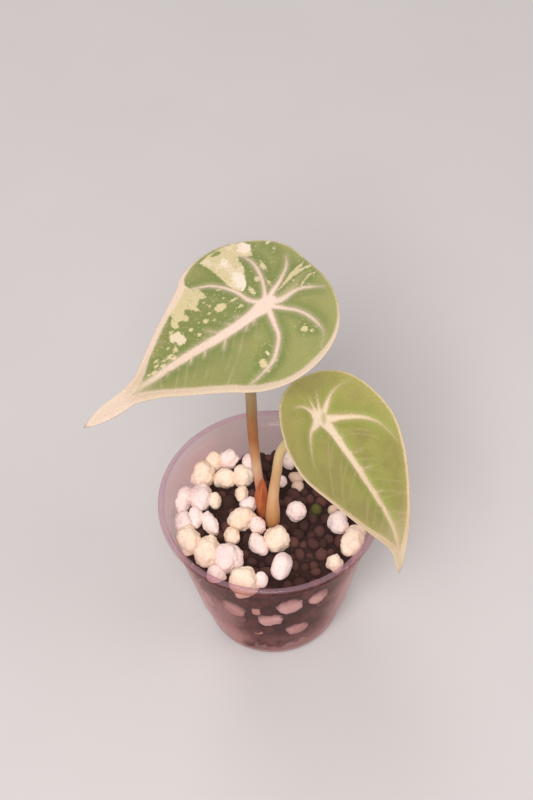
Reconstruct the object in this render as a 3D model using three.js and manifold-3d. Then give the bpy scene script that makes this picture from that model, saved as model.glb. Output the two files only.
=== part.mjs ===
// A young variegated velvet alocasia in a clear cup: two heart-shaped blades, each held from behind by its
// own stalk, grow from a small corm rooted in dark granules with pale pumice. Millimetres, +Z up, origin at
// the middle of the cup's base, with the viewer on the -Y side.
import * as THREE from "three";
import { ConvexGeometry } from "three/addons/geometries/ConvexGeometry.js";
import { mergeVertices } from "three/addons/utils/BufferGeometryUtils.js";
import Module from "manifold-3d";

// Cup
const CUP_HEIGHT = 56;
const RIM_RADIUS = 33;
const RIM_DEPTH = 2.4;
const COLLAR_RADIUS = 31.6;
const COLLAR_HEIGHT = 5;
const WALL_TOP_RADIUS = 30.6;
const STEP_HEIGHT = 15;
const STEP_RADIUS = 23.4;
const STEP_WIDTH = 1;
const FOOT_RADIUS = 17.4;
const FOOT_CORNER = 2.9;
const FOOT_CORNER_ANGLES = [22, 56, 90];
const WALL = 0.7;
const FLOOR = 0.8;
const DRAIN_RADIUS = 2;
const DRAIN_CIRCLE = 11;
const DRAINS = 4;

// Filling
const GAP = 0.3;
const SOIL_LEVEL = 44;
const GRANULES = 120;
const GRANULE_SIZES = [1.6, 2.7];
const GRANULE_CORNERS = 10;
const BEDDING_DEPTH = 1.8;
const PUMICE_CORNERS = 16;
const PUMICE_RISE = 1.7;
const WALL_PUMICE_SINK = 0.3;
const ROUND_STEPS = 48;
const GOLDEN_TURN = Math.PI * (3 - Math.sqrt(5));
const SEEDS = { granules: 5, granule: 500, roots: 11, cream: 100, white: 200, wall: 300 };

// Plant
const CORM_CENTRE = [-1.1, 1.9, 37];
const CORM_RADIUS = 5;
const CORM_HEIGHT = 9.6;
const ROOT_RADIUS = 0.8;
const ROOTS = 6;
const BLADE_THICKNESS = 0.8;
const BLADE_RINGS = 6;
const BLADE_MARGIN_STEPS = 64;
const STALK_SIDES = 10;
const STALK_STEPS = 20;

// Each blade lies in its own flat frame: u runs from the stalk's joint to the tip, v to the blade's left.
// Heading is the tip's compass angle from +X, drop is how far the tip hangs, roll turns the blade about u.
// The margin's points run from the tip round the back and return to the tip.
const LARGE_BLADE = {
  joint: [0.3, 8.3, 132],
  heading: 206,
  drop: 15,
  roll: 3,
  arch: 0.004,
  frontBend: 0.004,
  backBend: 0.006,
  twist: -0.004,
  hookStart: 45,
  hook: 0,
  margin: [
    [57.5, -1.5], [53.5, 0.5], [47.5, 2], [42.5, 2.5], [36.5, 5.5], [30, 10], [22, 15.5], [12.5, 22.5],
    [4.5, 25.2], [-4, 24.5], [-11, 20.5], [-15.5, 13.5], [-17.5, 4], [-16.3, -6.5], [-14.3, -16],
    [-8.5, -22.5], [0, -26.5], [8, -26.3], [14.5, -23.5], [17, -20.5], [27, -13], [35, -7], [39.5, -4],
    [44.5, -3], [51, -3], [55.5, -2.2], [57.5, -1.5],
  ],
};
const SMALL_BLADE = {
  joint: [14.6, -9.4, 105],
  heading: -46,
  drop: 32,
  roll: -15,
  arch: -0.015,
  frontBend: 0.005,
  backBend: -0.004,
  twist: 0,
  hookStart: 33,
  hook: 0.028,
  margin: [
    [46.7, -3], [45.5, -1], [42.5, 1.5], [35.5, 7], [28.5, 12.2], [20.5, 17], [11.5, 19.7], [2.5, 19],
    [-4.5, 16.4], [-9, 11.5], [-11.5, 5], [-12.3, -2.5], [-10.2, -9], [-5, -14.8], [1.5, -19], [8.7, -20.3],
    [17.5, -17], [32, -10], [38.5, -6], [41.5, -4.6], [44, -4.4], [46.7, -3],
  ],
};

// Centre lines of the stalks below the joint, from the crown upwards, with the radius at each point.
const LARGE_STALK = {
  points: [
    [-2.2, 3.6, 41], [-2.5, 4, 50], [-3.2, 4.4, 60], [-4.1, 5, 75], [-4.3, 5.7, 91], [-3.6, 6.8, 108],
  ],
  radii: [1.5, 1.35, 1.35, 1.55, 1.55, 1.55, 1.6, 1.7],
};
const SMALL_STALK = {
  points: [[0.4, 0.2, 41], [0.6, 0.2, 48], [0.9, 0.4, 56], [2, 0, 67], [4, -2.4, 83]],
  radii: [2.2, 2.1, 1.6, 1.45, 1.4, 1.45, 1.5],
};

// The dry sheath at the large stalk's foot wraps this stretch of heights and this much of a turn.
const SHEATH = {
  bottom: 42.8,
  top: 61,
  inner: 1.95,
  wall: 0.7,
  facing: -35,
  wrap: 190,
  rows: 7,
  columns: 8,
};

// Pumice pieces: x, y, length across and along, and turn. The first list is cream, the second whitish pink.
const CREAM_PUMICE = [
  [-8.5, -22, 8.5, 9.5, 0],
  [-19, -11.5, 8, 10.5, -15],
  [-24.5, -6.5, 7.5, 8, 0],
  [-20, 16.5, 7, 9, -10],
  [-16.5, 21.5, 5.5, 5, 0],
  [-13.5, 15, 7.5, 5.5, 0],
  [-8, 15.5, 6, 6.5, 15],
  [-8.5, 9, 3, 4.5, 0],
  [-8.5, 0, 8, 7, 0],
  [1.5, -7.5, 8, 8, 0],
  [-11.5, -6, 4.5, 5.5, 0],
  [24, -9.5, 6.5, 11, -25],
  [18, -17, 4.5, 4.5, 0],
  [-16.5, 7, 3.5, 4, 0],
];
const WHITE_PUMICE = [
  [2.5, -17, 6.5, 10, -20],
  [-13, -14, 9, 10, 0],
  [-26, -0.5, 5.5, 8, 0],
  [-22.5, 1, 4, 7, 0],
  [-18, -1, 3.6, 8, 20],
  [-25.8, 7.5, 5, 9.5, -15],
  [-20.5, 8, 6.5, 9, 0],
  [-12, 22.5, 6, 6, 0],
  [-6, 20.5, 3.4, 6, 0],
  [-6.5, 5, 5, 4, 0],
  [-4, -2.5, 5, 4.5, 0],
  [-4, -9, 4.4, 7.5, 20],
  [-3.5, -21.5, 3.4, 4.4, 0],
  [7.5, 2, 5.5, 5.5, 0],
  [3.5, 13.5, 3, 3, 0],
  [-16.5, -19, 6, 4.5, 0],
  [20, -2.5, 6, 8, 0],
  [6, 21, 3.5, 4.5, 0],
];
// Pumice pressed against the wall below the surface: compass angle, height and size.
const WALL_PUMICE = [
  [-59, 36, 6],
  [-80, 36.5, 8],
  [-93, 27, 6.5],
  [-72, 17.5, 6.5],
  [-120, 30, 8],
  [-12, 34, 8],
  [-150, 22, 7],
  [55, 31, 8],
  [112, 24, 7],
  [165, 34, 7],
];

const wasm = await Module();
wasm.setup();

const degrees = THREE.MathUtils.degToRad;
const vector = (point) => new THREE.Vector3(...point);

// A small seeded draw, the same on every run.
function seededDraw(seed) {
  let state = seed;
  return () => {
    state = (state + 0x6d2b79f5) | 0;
    let mixed = Math.imul(state ^ (state >>> 15), 1 | state);
    mixed = (mixed + Math.imul(mixed ^ (mixed >>> 7), 61 | mixed)) ^ mixed;
    return ((mixed ^ (mixed >>> 14)) >>> 0) / 4294967296;
  };
}

function solidOf(geometry) {
  const loose = geometry.index ? geometry.toNonIndexed() : geometry;
  const bare = new THREE.BufferGeometry().setAttribute("position", loose.getAttribute("position"));
  const merged = mergeVertices(bare, 1e-4);
  return new wasm.Manifold(
    new wasm.Mesh({
      numProp: 3,
      vertProperties: merged.attributes.position.array,
      triVerts: new Uint32Array(merged.index.array),
    }),
  );
}

// The largest body of a solid as three.js geometry, so a loose scrap from a cut is dropped.
function geometryOf(solid) {
  const bodies = solid.decompose().sort((a, b) => b.volume() - a.volume());
  const mesh = bodies[0].getMesh();
  const geometry = new THREE.BufferGeometry();
  geometry.setAttribute("position", new THREE.BufferAttribute(mesh.vertProperties, 3));
  geometry.setIndex(new THREE.BufferAttribute(mesh.triVerts, 1));
  return geometry;
}

function joined(solids) {
  return solids.reduce((whole, solid) => whole.add(solid));
}

function meshGeometry(vertices, triangles) {
  const geometry = new THREE.BufferGeometry();
  const numbers = vertices.flatMap((point) => point.toArray());
  geometry.setAttribute("position", new THREE.Float32BufferAttribute(numbers, 3));
  geometry.setIndex(triangles);
  return geometry;
}

// Closed skin over a row of like rings, with a fan over each end.
function loft(rings) {
  const sides = rings[0].length;
  const vertices = rings.flat();
  const triangles = [];
  for (let row = 0; row + 1 < rings.length; row++) {
    for (let i = 0; i < sides; i++) {
      const a = row * sides + i;
      const b = row * sides + ((i + 1) % sides);
      triangles.push(a, b, b + sides, a, b + sides, a + sides);
    }
  }
  const last = (rings.length - 1) * sides;
  for (let i = 1; i + 1 < sides; i++) {
    triangles.push(0, i + 1, i, last, last + i, last + i + 1);
  }
  return meshGeometry(vertices, triangles);
}

// Round stem along a smooth line, with its radius running through the given values. Extra makes it that much
// larger all round, ends included, as the room that the stem needs.
function stem(points, radii, steps, sides, extra = 0) {
  const past = (end, next) => end.clone().addScaledVector(end.clone().sub(next).normalize(), extra);
  const ends = [past(points[0], points[1]), past(points.at(-1), points.at(-2))];
  const line = new THREE.CatmullRomCurve3([ends[0], ...points.slice(1, -1), ends[1]], false, "centripetal");
  const frames = line.computeFrenetFrames(steps, false);
  const rings = [];
  for (let step = 0; step <= steps; step++) {
    const along = step / steps;
    const centre = line.getPointAt(along);
    const place = along * (radii.length - 1);
    const low = Math.min(Math.floor(place), radii.length - 2);
    const radius = THREE.MathUtils.lerp(radii[low], radii[low + 1], place - low) + extra;
    const ring = [];
    for (let side = 0; side < sides; side++) {
      const turn = (side / sides) * 2 * Math.PI;
      const out = frames.normals[step].clone().multiplyScalar(Math.cos(turn) * radius);
      out.addScaledVector(frames.binormals[step], Math.sin(turn) * radius);
      ring.push(centre.clone().add(out));
    }
    rings.push(ring);
  }
  return loft(rings);
}

// Cup wall, outer line from the foot to the rim. The inner line lies one wall thickness inside it.
const stepLow = STEP_RADIUS - STEP_WIDTH;
const collarBottom = CUP_HEIGHT - COLLAR_HEIGHT;

function outerRadius(z) {
  if (z < STEP_HEIGHT) {
    const along = Math.max(z - FOOT_CORNER, 0) / (STEP_HEIGHT - FOOT_CORNER);
    return THREE.MathUtils.lerp(FOOT_RADIUS + FOOT_CORNER, stepLow, along);
  }
  const up = (z - STEP_HEIGHT) / (collarBottom - STEP_HEIGHT);
  return THREE.MathUtils.lerp(STEP_RADIUS, WALL_TOP_RADIUS, up);
}

function footCorner(radius, centreHeight) {
  return FOOT_CORNER_ANGLES.map((angle) => [
    FOOT_RADIUS + radius * Math.sin(degrees(angle)),
    centreHeight - radius * Math.cos(degrees(angle)),
  ]);
}

function cupSolid() {
  const outer = [
    [0, 0],
    [FOOT_RADIUS, 0],
    ...footCorner(FOOT_CORNER, FOOT_CORNER),
    [stepLow, STEP_HEIGHT - 0.4],
    [STEP_RADIUS, STEP_HEIGHT],
    [WALL_TOP_RADIUS, collarBottom],
    [COLLAR_RADIUS, collarBottom + 0.6],
    [COLLAR_RADIUS + 0.1, CUP_HEIGHT - RIM_DEPTH],
    [RIM_RADIUS - 0.2, CUP_HEIGHT - RIM_DEPTH + 0.1],
    [RIM_RADIUS, CUP_HEIGHT - RIM_DEPTH / 2],
    [RIM_RADIUS - 0.3, CUP_HEIGHT - 0.3],
    [RIM_RADIUS - 1, CUP_HEIGHT],
  ];
  const inner = [
    [COLLAR_RADIUS - WALL + 0.2, CUP_HEIGHT - 0.4],
    [COLLAR_RADIUS - WALL, collarBottom + 0.8],
    [WALL_TOP_RADIUS - WALL, collarBottom],
    [STEP_RADIUS - WALL, STEP_HEIGHT + 0.3],
    [stepLow - WALL, STEP_HEIGHT - 0.2],
    ...footCorner(FOOT_CORNER - WALL, FOOT_CORNER).reverse(),
    [0, FLOOR],
  ];
  const profile = [...outer, ...inner].map(([radius, z]) => new THREE.Vector2(radius, z));
  const shell = solidOf(new THREE.LatheGeometry(profile, ROUND_STEPS).rotateX(Math.PI / 2));
  const drains = Array.from({ length: DRAINS }, (_, i) => {
    const turn = degrees(45 + (360 / DRAINS) * i);
    const hole = new THREE.CylinderGeometry(DRAIN_RADIUS, DRAIN_RADIUS, 4, 16).rotateX(Math.PI / 2);
    hole.translate(DRAIN_CIRCLE * Math.cos(turn), DRAIN_CIRCLE * Math.sin(turn), 0);
    return solidOf(hole);
  });
  return drains.reduce((cup, drain) => cup.subtract(drain), shell);
}

// Everything inside the cup's wall, up to a given height.
function cupInside(top) {
  const clear = WALL + GAP;
  const profile = [
    [0, FLOOR + GAP],
    ...footCorner(FOOT_CORNER - clear, FOOT_CORNER),
    [stepLow - clear, STEP_HEIGHT - 0.1],
    [STEP_RADIUS - clear, STEP_HEIGHT + 0.4],
    [outerRadius(top) - clear, top],
    [0, top],
  ].map(([radius, z]) => new THREE.Vector2(radius, z));
  return solidOf(new THREE.LatheGeometry(profile, ROUND_STEPS).rotateX(Math.PI / 2));
}

// Blades
function bladeFrame(blade) {
  const heading = degrees(blade.heading);
  const drop = degrees(blade.drop);
  const along = new THREE.Vector3(
    Math.cos(heading) * Math.cos(drop),
    Math.sin(heading) * Math.cos(drop),
    -Math.sin(drop),
  );
  const across = new THREE.Vector3(-Math.sin(heading), Math.cos(heading), 0);
  across.applyAxisAngle(along, degrees(blade.roll));
  const normal = new THREE.Vector3().crossVectors(along, across);
  return { along, across, normal, joint: vector(blade.joint) };
}

// Height of the blade's face over its flat frame: arched across, bent along, twisted, with a hooked tip.
function bladeHeight(blade, u, v) {
  const bend = u > 0 ? blade.frontBend : blade.backBend;
  const hooked = Math.max(u - blade.hookStart, 0);
  return -(blade.arch * v * v + bend * u * u) / 2 + blade.twist * u * v - blade.hook * hooked * hooked;
}

function bladeMesh(name, blade, material) {
  const corners = blade.margin.map(([u, v]) => new THREE.Vector3(u, v, 0));
  const outline = new THREE.CatmullRomCurve3(corners, false, "centripetal");
  const margin = outline.getSpacedPoints(BLADE_MARGIN_STEPS);
  margin.pop();
  const count = margin.length;
  const face = (drop) => {
    const vertices = [new THREE.Vector3(0, 0, -drop)];
    for (let ring = 1; ring <= BLADE_RINGS; ring++) {
      for (const edge of margin) {
        const u = (edge.x * ring) / BLADE_RINGS;
        const v = (edge.y * ring) / BLADE_RINGS;
        vertices.push(new THREE.Vector3(u, v, bladeHeight(blade, u, v) - drop));
      }
    }
    return vertices;
  };
  const vertices = [...face(0), ...face(BLADE_THICKNESS)];
  const under = vertices.length / 2;
  const triangles = [];
  const bothFaces = (a, b, c) => triangles.push(a, b, c, a + under, c + under, b + under);
  for (let i = 0; i < count; i++) {
    const next = (i + 1) % count;
    bothFaces(0, 1 + i, 1 + next);
    for (let ring = 1; ring < BLADE_RINGS; ring++) {
      const inner = 1 + (ring - 1) * count;
      const outer = inner + count;
      bothFaces(inner + i, outer + i, outer + next);
      bothFaces(inner + i, outer + next, inner + next);
    }
    const edge = 1 + (BLADE_RINGS - 1) * count;
    triangles.push(edge + i, edge + i + under, edge + next + under);
    triangles.push(edge + i, edge + next + under, edge + next);
  }
  const mesh = new THREE.Mesh(meshGeometry(vertices, triangles), material);
  const { joint, along, across, normal } = bladeFrame(blade);
  mesh.name = name;
  mesh.position.copy(joint);
  mesh.quaternion.setFromRotationMatrix(new THREE.Matrix4().makeBasis(along, across, normal));
  return mesh;
}

// Stalks meet their blade squarely from behind, a hair clear of it.
function stalkGeometry(stalk, blade, extra = 0) {
  const frame = bladeFrame(blade);
  const behind = (distance) => frame.joint.clone().addScaledVector(frame.normal, -distance);
  const points = [...stalk.points.map(vector), behind(6), behind(BLADE_THICKNESS + GAP + 0.05)];
  return stem(points, stalk.radii, STALK_STEPS, STALK_SIDES, extra);
}

// Middle of a stalk at a given height.
function stalkCentre(stalk, z) {
  const above = Math.max(stalk.points.findIndex((point) => point[2] > z), 1);
  const low = vector(stalk.points[above - 1]);
  const high = vector(stalk.points[above]);
  return low.lerp(high, (z - low.z) / (high.z - low.z));
}

// Open sheath round the large stalk: a curved strip that narrows to a point.
function sheathSolid(extra = 0) {
  const inner = SHEATH.inner - extra;
  const outer = SHEATH.inner + SHEATH.wall + extra;
  const rings = [];
  for (let row = 0; row <= SHEATH.rows; row++) {
    const up = row / SHEATH.rows;
    const z = THREE.MathUtils.lerp(SHEATH.bottom, SHEATH.top + extra, up);
    const centre = stalkCentre(LARGE_STALK, z);
    const half = degrees(SHEATH.wrap / 2) * (1 - 0.85 * up * up) + extra * 0.4;
    const ring = [];
    for (const [radius, direction] of [[outer, 1], [inner, -1]]) {
      for (let column = 0; column < SHEATH.columns; column++) {
        const across = (column / (SHEATH.columns - 1)) * 2 - 1;
        const turn = degrees(SHEATH.facing) + half * across * direction;
        const out = new THREE.Vector3(radius * Math.cos(turn), radius * Math.sin(turn), 0);
        ring.push(out.add(centre));
      }
    }
    rings.push(ring);
  }
  return solidOf(loft(rings));
}

// Corm with its roots, which wander down and outwards through the filling.
function cormSolid(extra = 0) {
  const bulb = new THREE.SphereGeometry(1, 16, 10);
  bulb.rotateX(Math.PI / 2);
  bulb.scale(CORM_RADIUS + extra, CORM_RADIUS + extra, CORM_HEIGHT / 2 + extra);
  bulb.translate(...CORM_CENTRE);
  const draw = seededDraw(SEEDS.roots);
  const roots = Array.from({ length: ROOTS }, (_, i) => {
    const turn = ((i + 0.5 * draw()) / ROOTS) * 2 * Math.PI;
    const points = [];
    for (let k = 0; k < 6; k++) {
      const reach = 2 + 2.6 * k + draw();
      const swing = turn + 0.5 * (draw() - 0.5) + 0.12 * k;
      points.push(
        new THREE.Vector3(
          CORM_CENTRE[0] + reach * Math.cos(swing),
          CORM_CENTRE[1] + reach * Math.sin(swing),
          CORM_CENTRE[2] - 1.5 - 5.2 * k - 1.5 * draw(),
        ),
      );
    }
    return solidOf(stem(points, [1.2, 1, ROOT_RADIUS, 0.6], 9, 5, extra));
  });
  return joined([solidOf(bulb), ...roots]);
}

// Angular lump: the hull of seeded points on an ellipsoid.
function lumpSolid(centre, halves, turn, corners, seed, extra = 0) {
  const draw = seededDraw(seed);
  const points = [];
  for (let k = 0; k < corners; k++) {
    const z = 1 - (2 * (k + 0.5)) / corners;
    const flat = Math.sqrt(1 - z * z);
    const swing = k * GOLDEN_TURN + 0.9 * draw();
    const size = 0.86 + 0.2 * draw();
    points.push(
      new THREE.Vector3(
        flat * Math.cos(swing) * (size * halves[0] + extra),
        flat * Math.sin(swing) * (size * halves[1] + extra),
        z * (size * halves[2] + extra),
      ),
    );
  }
  const hull = new ConvexGeometry(points);
  hull.rotateZ(degrees(turn));
  hull.translate(...centre);
  return solidOf(hull);
}

function surfaceLumps(list, seed, extra) {
  return list.map(([x, y, across, along, turn], i) => {
    const tall = 0.45 * Math.min(across, along) + 1;
    const centre = [x, y, SOIL_LEVEL + PUMICE_RISE];
    return lumpSolid(centre, [across / 2, along / 2, tall], turn, PUMICE_CORNERS, seed + i, extra);
  });
}

function wallLumps(extra) {
  return WALL_PUMICE.map(([angle, height, size], i) => {
    const half = WALL_PUMICE_SINK * size;
    const reach = outerRadius(height) - WALL - half;
    const centre = [reach * Math.cos(degrees(angle)), reach * Math.sin(degrees(angle)), height];
    return lumpSolid(centre, [half, size / 2, size / 2], angle, PUMICE_CORNERS, SEEDS.wall + i, extra);
  });
}

// Neighbouring pieces are cut back from one another, each by those before it.
function fittedPumice(plant) {
  const inside = cupInside(CUP_HEIGHT - COLLAR_HEIGHT);
  const kinds = [
    ["pumice_cream", (extra) => surfaceLumps(CREAM_PUMICE, SEEDS.cream, extra)],
    ["pumice_white", (extra) => surfaceLumps(WHITE_PUMICE, SEEDS.white, extra)],
    ["pumice_wall", wallLumps],
  ];
  const pieces = [];
  let taken = plant;
  for (const [kind, lumps] of kinds) {
    const wide = lumps(GAP + 0.1);
    lumps(0).forEach((lump, i) => {
      const fitted = lump.intersect(inside).subtract(taken);
      pieces.push({ name: `${kind}_${String(i + 1).padStart(2, "0")}`, kind, solid: fitted });
      taken = taken.add(wide[i]);
    });
  }
  return { pieces, taken };
}

// Dark granules: a packed body whose top is covered with granules, with room for all that stands in it.
function substrateSolid(taken) {
  const draw = seededDraw(SEEDS.granules);
  const reach = outerRadius(SOIL_LEVEL) - WALL - GAP;
  const granules = [];
  const places = [];
  for (let tries = 0; tries < 4000 && granules.length < GRANULES; tries++) {
    const radius = THREE.MathUtils.lerp(...GRANULE_SIZES, draw());
    const out = (reach - 0.8 * radius) * Math.sqrt(draw());
    const turn = 2 * Math.PI * draw();
    const x = out * Math.cos(turn);
    const y = out * Math.sin(turn);
    const z = SOIL_LEVEL - 0.9 + 1.3 * draw();
    const near = (other) => Math.hypot(x - other.x, y - other.y) < 0.7 * (radius + other.radius);
    if (places.some(near)) continue;
    places.push({ x, y, radius });
    const halves = [radius, radius * 0.9, radius * 0.85];
    granules.push(lumpSolid([x, y, z], halves, 0, GRANULE_CORNERS, SEEDS.granule + granules.length));
  }
  const body = joined([cupInside(SOIL_LEVEL - BEDDING_DEPTH), ...granules]);
  return body.intersect(cupInside(CUP_HEIGHT - COLLAR_HEIGHT)).subtract(taken);
}

const finish = (color, roughness) => new THREE.MeshStandardMaterial({ color, roughness, metalness: 0 });
const clearPlastic = finish(0xd9b9bd, 0.15);
clearPlastic.transparent = true;
clearPlastic.opacity = 0.35;
const granuleDark = finish(0x4a302c, 0.95);
const pumice = {
  pumice_cream: finish(0xf6dfb8, 0.9),
  pumice_white: finish(0xfbe0da, 0.9),
  pumice_wall: finish(0xf6dfd2, 0.9),
};
const largeGreen = finish(0x93a15b, 0.6);
const smallGreen = finish(0xaaab5d, 0.6);
const stalkOlive = finish(0xb0986a, 0.55);
const stalkTan = finish(0xcda36d, 0.55);
const sheathRust = finish(0xb8613a, 0.7);
const cormBrown = finish(0xc39a72, 0.85);

function named(name, geometry, material) {
  const mesh = new THREE.Mesh(geometry, material);
  mesh.name = name;
  return mesh;
}

const sheath = sheathSolid();
const smallStalk = solidOf(stalkGeometry(SMALL_STALK, SMALL_BLADE));
const smallStalkRoom = solidOf(stalkGeometry(SMALL_STALK, SMALL_BLADE, GAP));
const largeStalk = solidOf(stalkGeometry(LARGE_STALK, LARGE_BLADE));
const largeStalkRoom = solidOf(stalkGeometry(LARGE_STALK, LARGE_BLADE, GAP));
const stalkRoom = joined([smallStalkRoom, largeStalkRoom, sheathSolid(GAP)]);
const corm = cormSolid().subtract(stalkRoom);
const { pieces, taken } = fittedPumice(joined([stalkRoom, cormSolid(GAP)]));

const alocasia = new THREE.Group();
alocasia.add(
  named("cup", geometryOf(cupSolid()), clearPlastic),
  named("substrate", geometryOf(substrateSolid(taken)), granuleDark),
  named("corm_with_roots", geometryOf(corm), cormBrown),
  named("stalk_large", geometryOf(largeStalk.subtract(smallStalkRoom)), stalkOlive),
  named("stalk_small", geometryOf(smallStalk), stalkTan),
  named("sheath", geometryOf(sheath.subtract(smallStalkRoom).subtract(largeStalkRoom)), sheathRust),
  bladeMesh("blade_large", LARGE_BLADE, largeGreen),
  bladeMesh("blade_small", SMALL_BLADE, smallGreen),
  ...pieces.map((piece) => named(piece.name, geometryOf(piece.solid), pumice[piece.kind])),
);

export default alocasia;
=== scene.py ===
import math

import bmesh
import bpy
import numpy as np
from mathutils import Matrix, Vector


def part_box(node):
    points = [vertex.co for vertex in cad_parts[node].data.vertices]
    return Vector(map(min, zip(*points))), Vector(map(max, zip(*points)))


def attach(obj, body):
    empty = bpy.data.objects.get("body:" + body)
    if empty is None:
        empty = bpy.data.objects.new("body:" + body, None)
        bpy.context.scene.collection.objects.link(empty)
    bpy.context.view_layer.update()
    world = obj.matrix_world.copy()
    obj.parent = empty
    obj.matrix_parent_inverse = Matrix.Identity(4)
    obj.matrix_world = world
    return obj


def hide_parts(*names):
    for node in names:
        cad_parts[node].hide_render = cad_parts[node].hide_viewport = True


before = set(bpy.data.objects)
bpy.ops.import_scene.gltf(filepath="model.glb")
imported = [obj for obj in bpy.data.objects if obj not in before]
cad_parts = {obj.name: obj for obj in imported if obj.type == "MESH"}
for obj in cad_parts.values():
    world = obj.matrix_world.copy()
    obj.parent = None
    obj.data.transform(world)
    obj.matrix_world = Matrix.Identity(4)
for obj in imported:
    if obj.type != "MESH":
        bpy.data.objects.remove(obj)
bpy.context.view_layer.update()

# Camera
# A long lens looks down on the front of the cup from above, a little off level, so that the large blade hangs
# to the left over the cup and the small blade to the right.
LENS = 85
SENSOR = 36
LOOK_DOWN = math.radians(51.5)
OFF_LEVEL = math.radians(-2.1)
CAMERA_PLACE = (-0.00003, -0.32041, 0.50468)


def stand(name, data):
    """An object of this data, standing in the scene."""
    made = bpy.data.objects.new(name, data)
    bpy.context.scene.collection.objects.link(made)
    return made


lens = bpy.data.cameras.new("camera")
lens.lens = LENS
lens.sensor_width = SENSOR
lens.clip_start = 0.01
camera = stand("camera", lens)
level_right = Vector((1, 0, 0))
level_up = Vector((0, math.sin(LOOK_DOWN), math.cos(LOOK_DOWN)))
backward = Vector((0, -math.cos(LOOK_DOWN), math.sin(LOOK_DOWN)))
rightward = level_right * math.cos(OFF_LEVEL) + level_up * math.sin(OFF_LEVEL)
upward = level_up * math.cos(OFF_LEVEL) - level_right * math.sin(OFF_LEVEL)
turn = Matrix((rightward, upward, backward)).transposed().to_4x4()
camera.matrix_world = Matrix.Translation(CAMERA_PLACE) @ turn
bpy.context.scene.camera = camera

# Cup
# A thin clear cup moulded in one piece of plastic, with a rolled rim, a collar under it, a stacking step low
# on the wall and a flat base drilled with drainage holes. It is faintly pink, and hazy low down, at the left
# and where the filling steams it. A painted pink sheen lies in the left haze, a painted pink highlight runs
# up its front right side and a painted pink reflection lies in its rim. Lengths are in millimetres from here
# on.
MM = 0.001
CUP_HEIGHT = 56
RIM_RADIUS = 32.98
RIM_DEPTH = 2.4
COLLAR_RADIUS = 31.6
COLLAR_BOTTOM = 51
WALL_TOP_RADIUS = 30.6
STEP_HEIGHT = 15
STEP_RADIUS = 23.4
STEP_LOW_RADIUS = 22.4
FOOT_RADIUS = 17.4
FOOT_CORNER = 2.9
WALL = 0.7
CORNER_EASE = 0.9
CUP_SIDES = 160
DRAIN_HOLES = 4
DRAIN_RADIUS = 2
DRAIN_CIRCLE = 11
DRAIN_FIRST = math.radians(45)
DRILL_LENGTH = 4
DRILL_SIDES = 32
# The rolled rim, tinted deeper by its thicker plastic and hazed with a painted pink reflection.
RIM_TINT_FROM = 55.2
RIM_TINT_FULL = 55.8
# How much of the light each cause of haze scatters.
HAZE_ALL_OVER = 0.012
# Haze low on the left, with a painted pink sheen in it.
HAZE_LEFT_AND_SHEEN = 0.3
HAZE_FOOT = 0.18
HAZE_STEAM = 0.14
HAZE_DROPS = 0.025
# A painted pink highlight on the cup's front right side, laid on as haze.
HAZE_PAINTED_HIGHLIGHT = 0.26
# A painted pink reflection in the rim, laid on as haze.
HAZE_RIM_REFLECTION = 0.28


def paint(red, green, blue):
    """A screen colour, 0 to 255, as the linear colour that a socket takes."""
    linear = [((c / 255 + 0.055) / 1.055) ** 2.4 if c > 10 else c / 255 / 12.92 for c in (red, green, blue)]
    return (*linear, 1)


class Wire:
    """A socket in a node tree. Python's signs between wires, or a wire and a number, add Math nodes."""

    def __init__(self, tree, socket):
        self.tree = tree
        self.socket = socket

    def math(self, operation, *values):
        return self.tree.node("ShaderNodeMath", {"operation": operation}, dict(enumerate(values)))

    def __add__(self, other):
        return self.math("ADD", self, other)

    def __radd__(self, other):
        return self.math("ADD", other, self)

    def __sub__(self, other):
        return self.math("SUBTRACT", self, other)

    def __rsub__(self, other):
        return self.math("SUBTRACT", other, self)

    def __mul__(self, other):
        return self.math("MULTIPLY", self, other)

    def __rmul__(self, other):
        return self.math("MULTIPLY", other, self)


class Tree:
    """A node tree while it is wired. node() adds any node, its settings first, and returns an output."""

    def __init__(self, tree):
        self.tree = tree

    def plug(self, socket, value):
        if isinstance(value, Wire):
            self.tree.links.new(value.socket, socket)
        else:
            socket.default_value = value

    def node(self, kind, settings=None, inputs=None, output=0):
        made = self.tree.nodes.new(kind)
        for name, value in (settings or {}).items():
            if name == "stops":
                ramp = made.color_ramp.elements
                while len(ramp) < len(value):
                    ramp.new(1)
                for stop, (position, colour) in zip(ramp, value):
                    stop.position = position
                    stop.color = colour
            else:
                setattr(made, name, value)
        for name, value in (inputs or {}).items():
            self.plug(made.inputs[name], value)
        return Wire(self, made.outputs[output])


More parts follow.
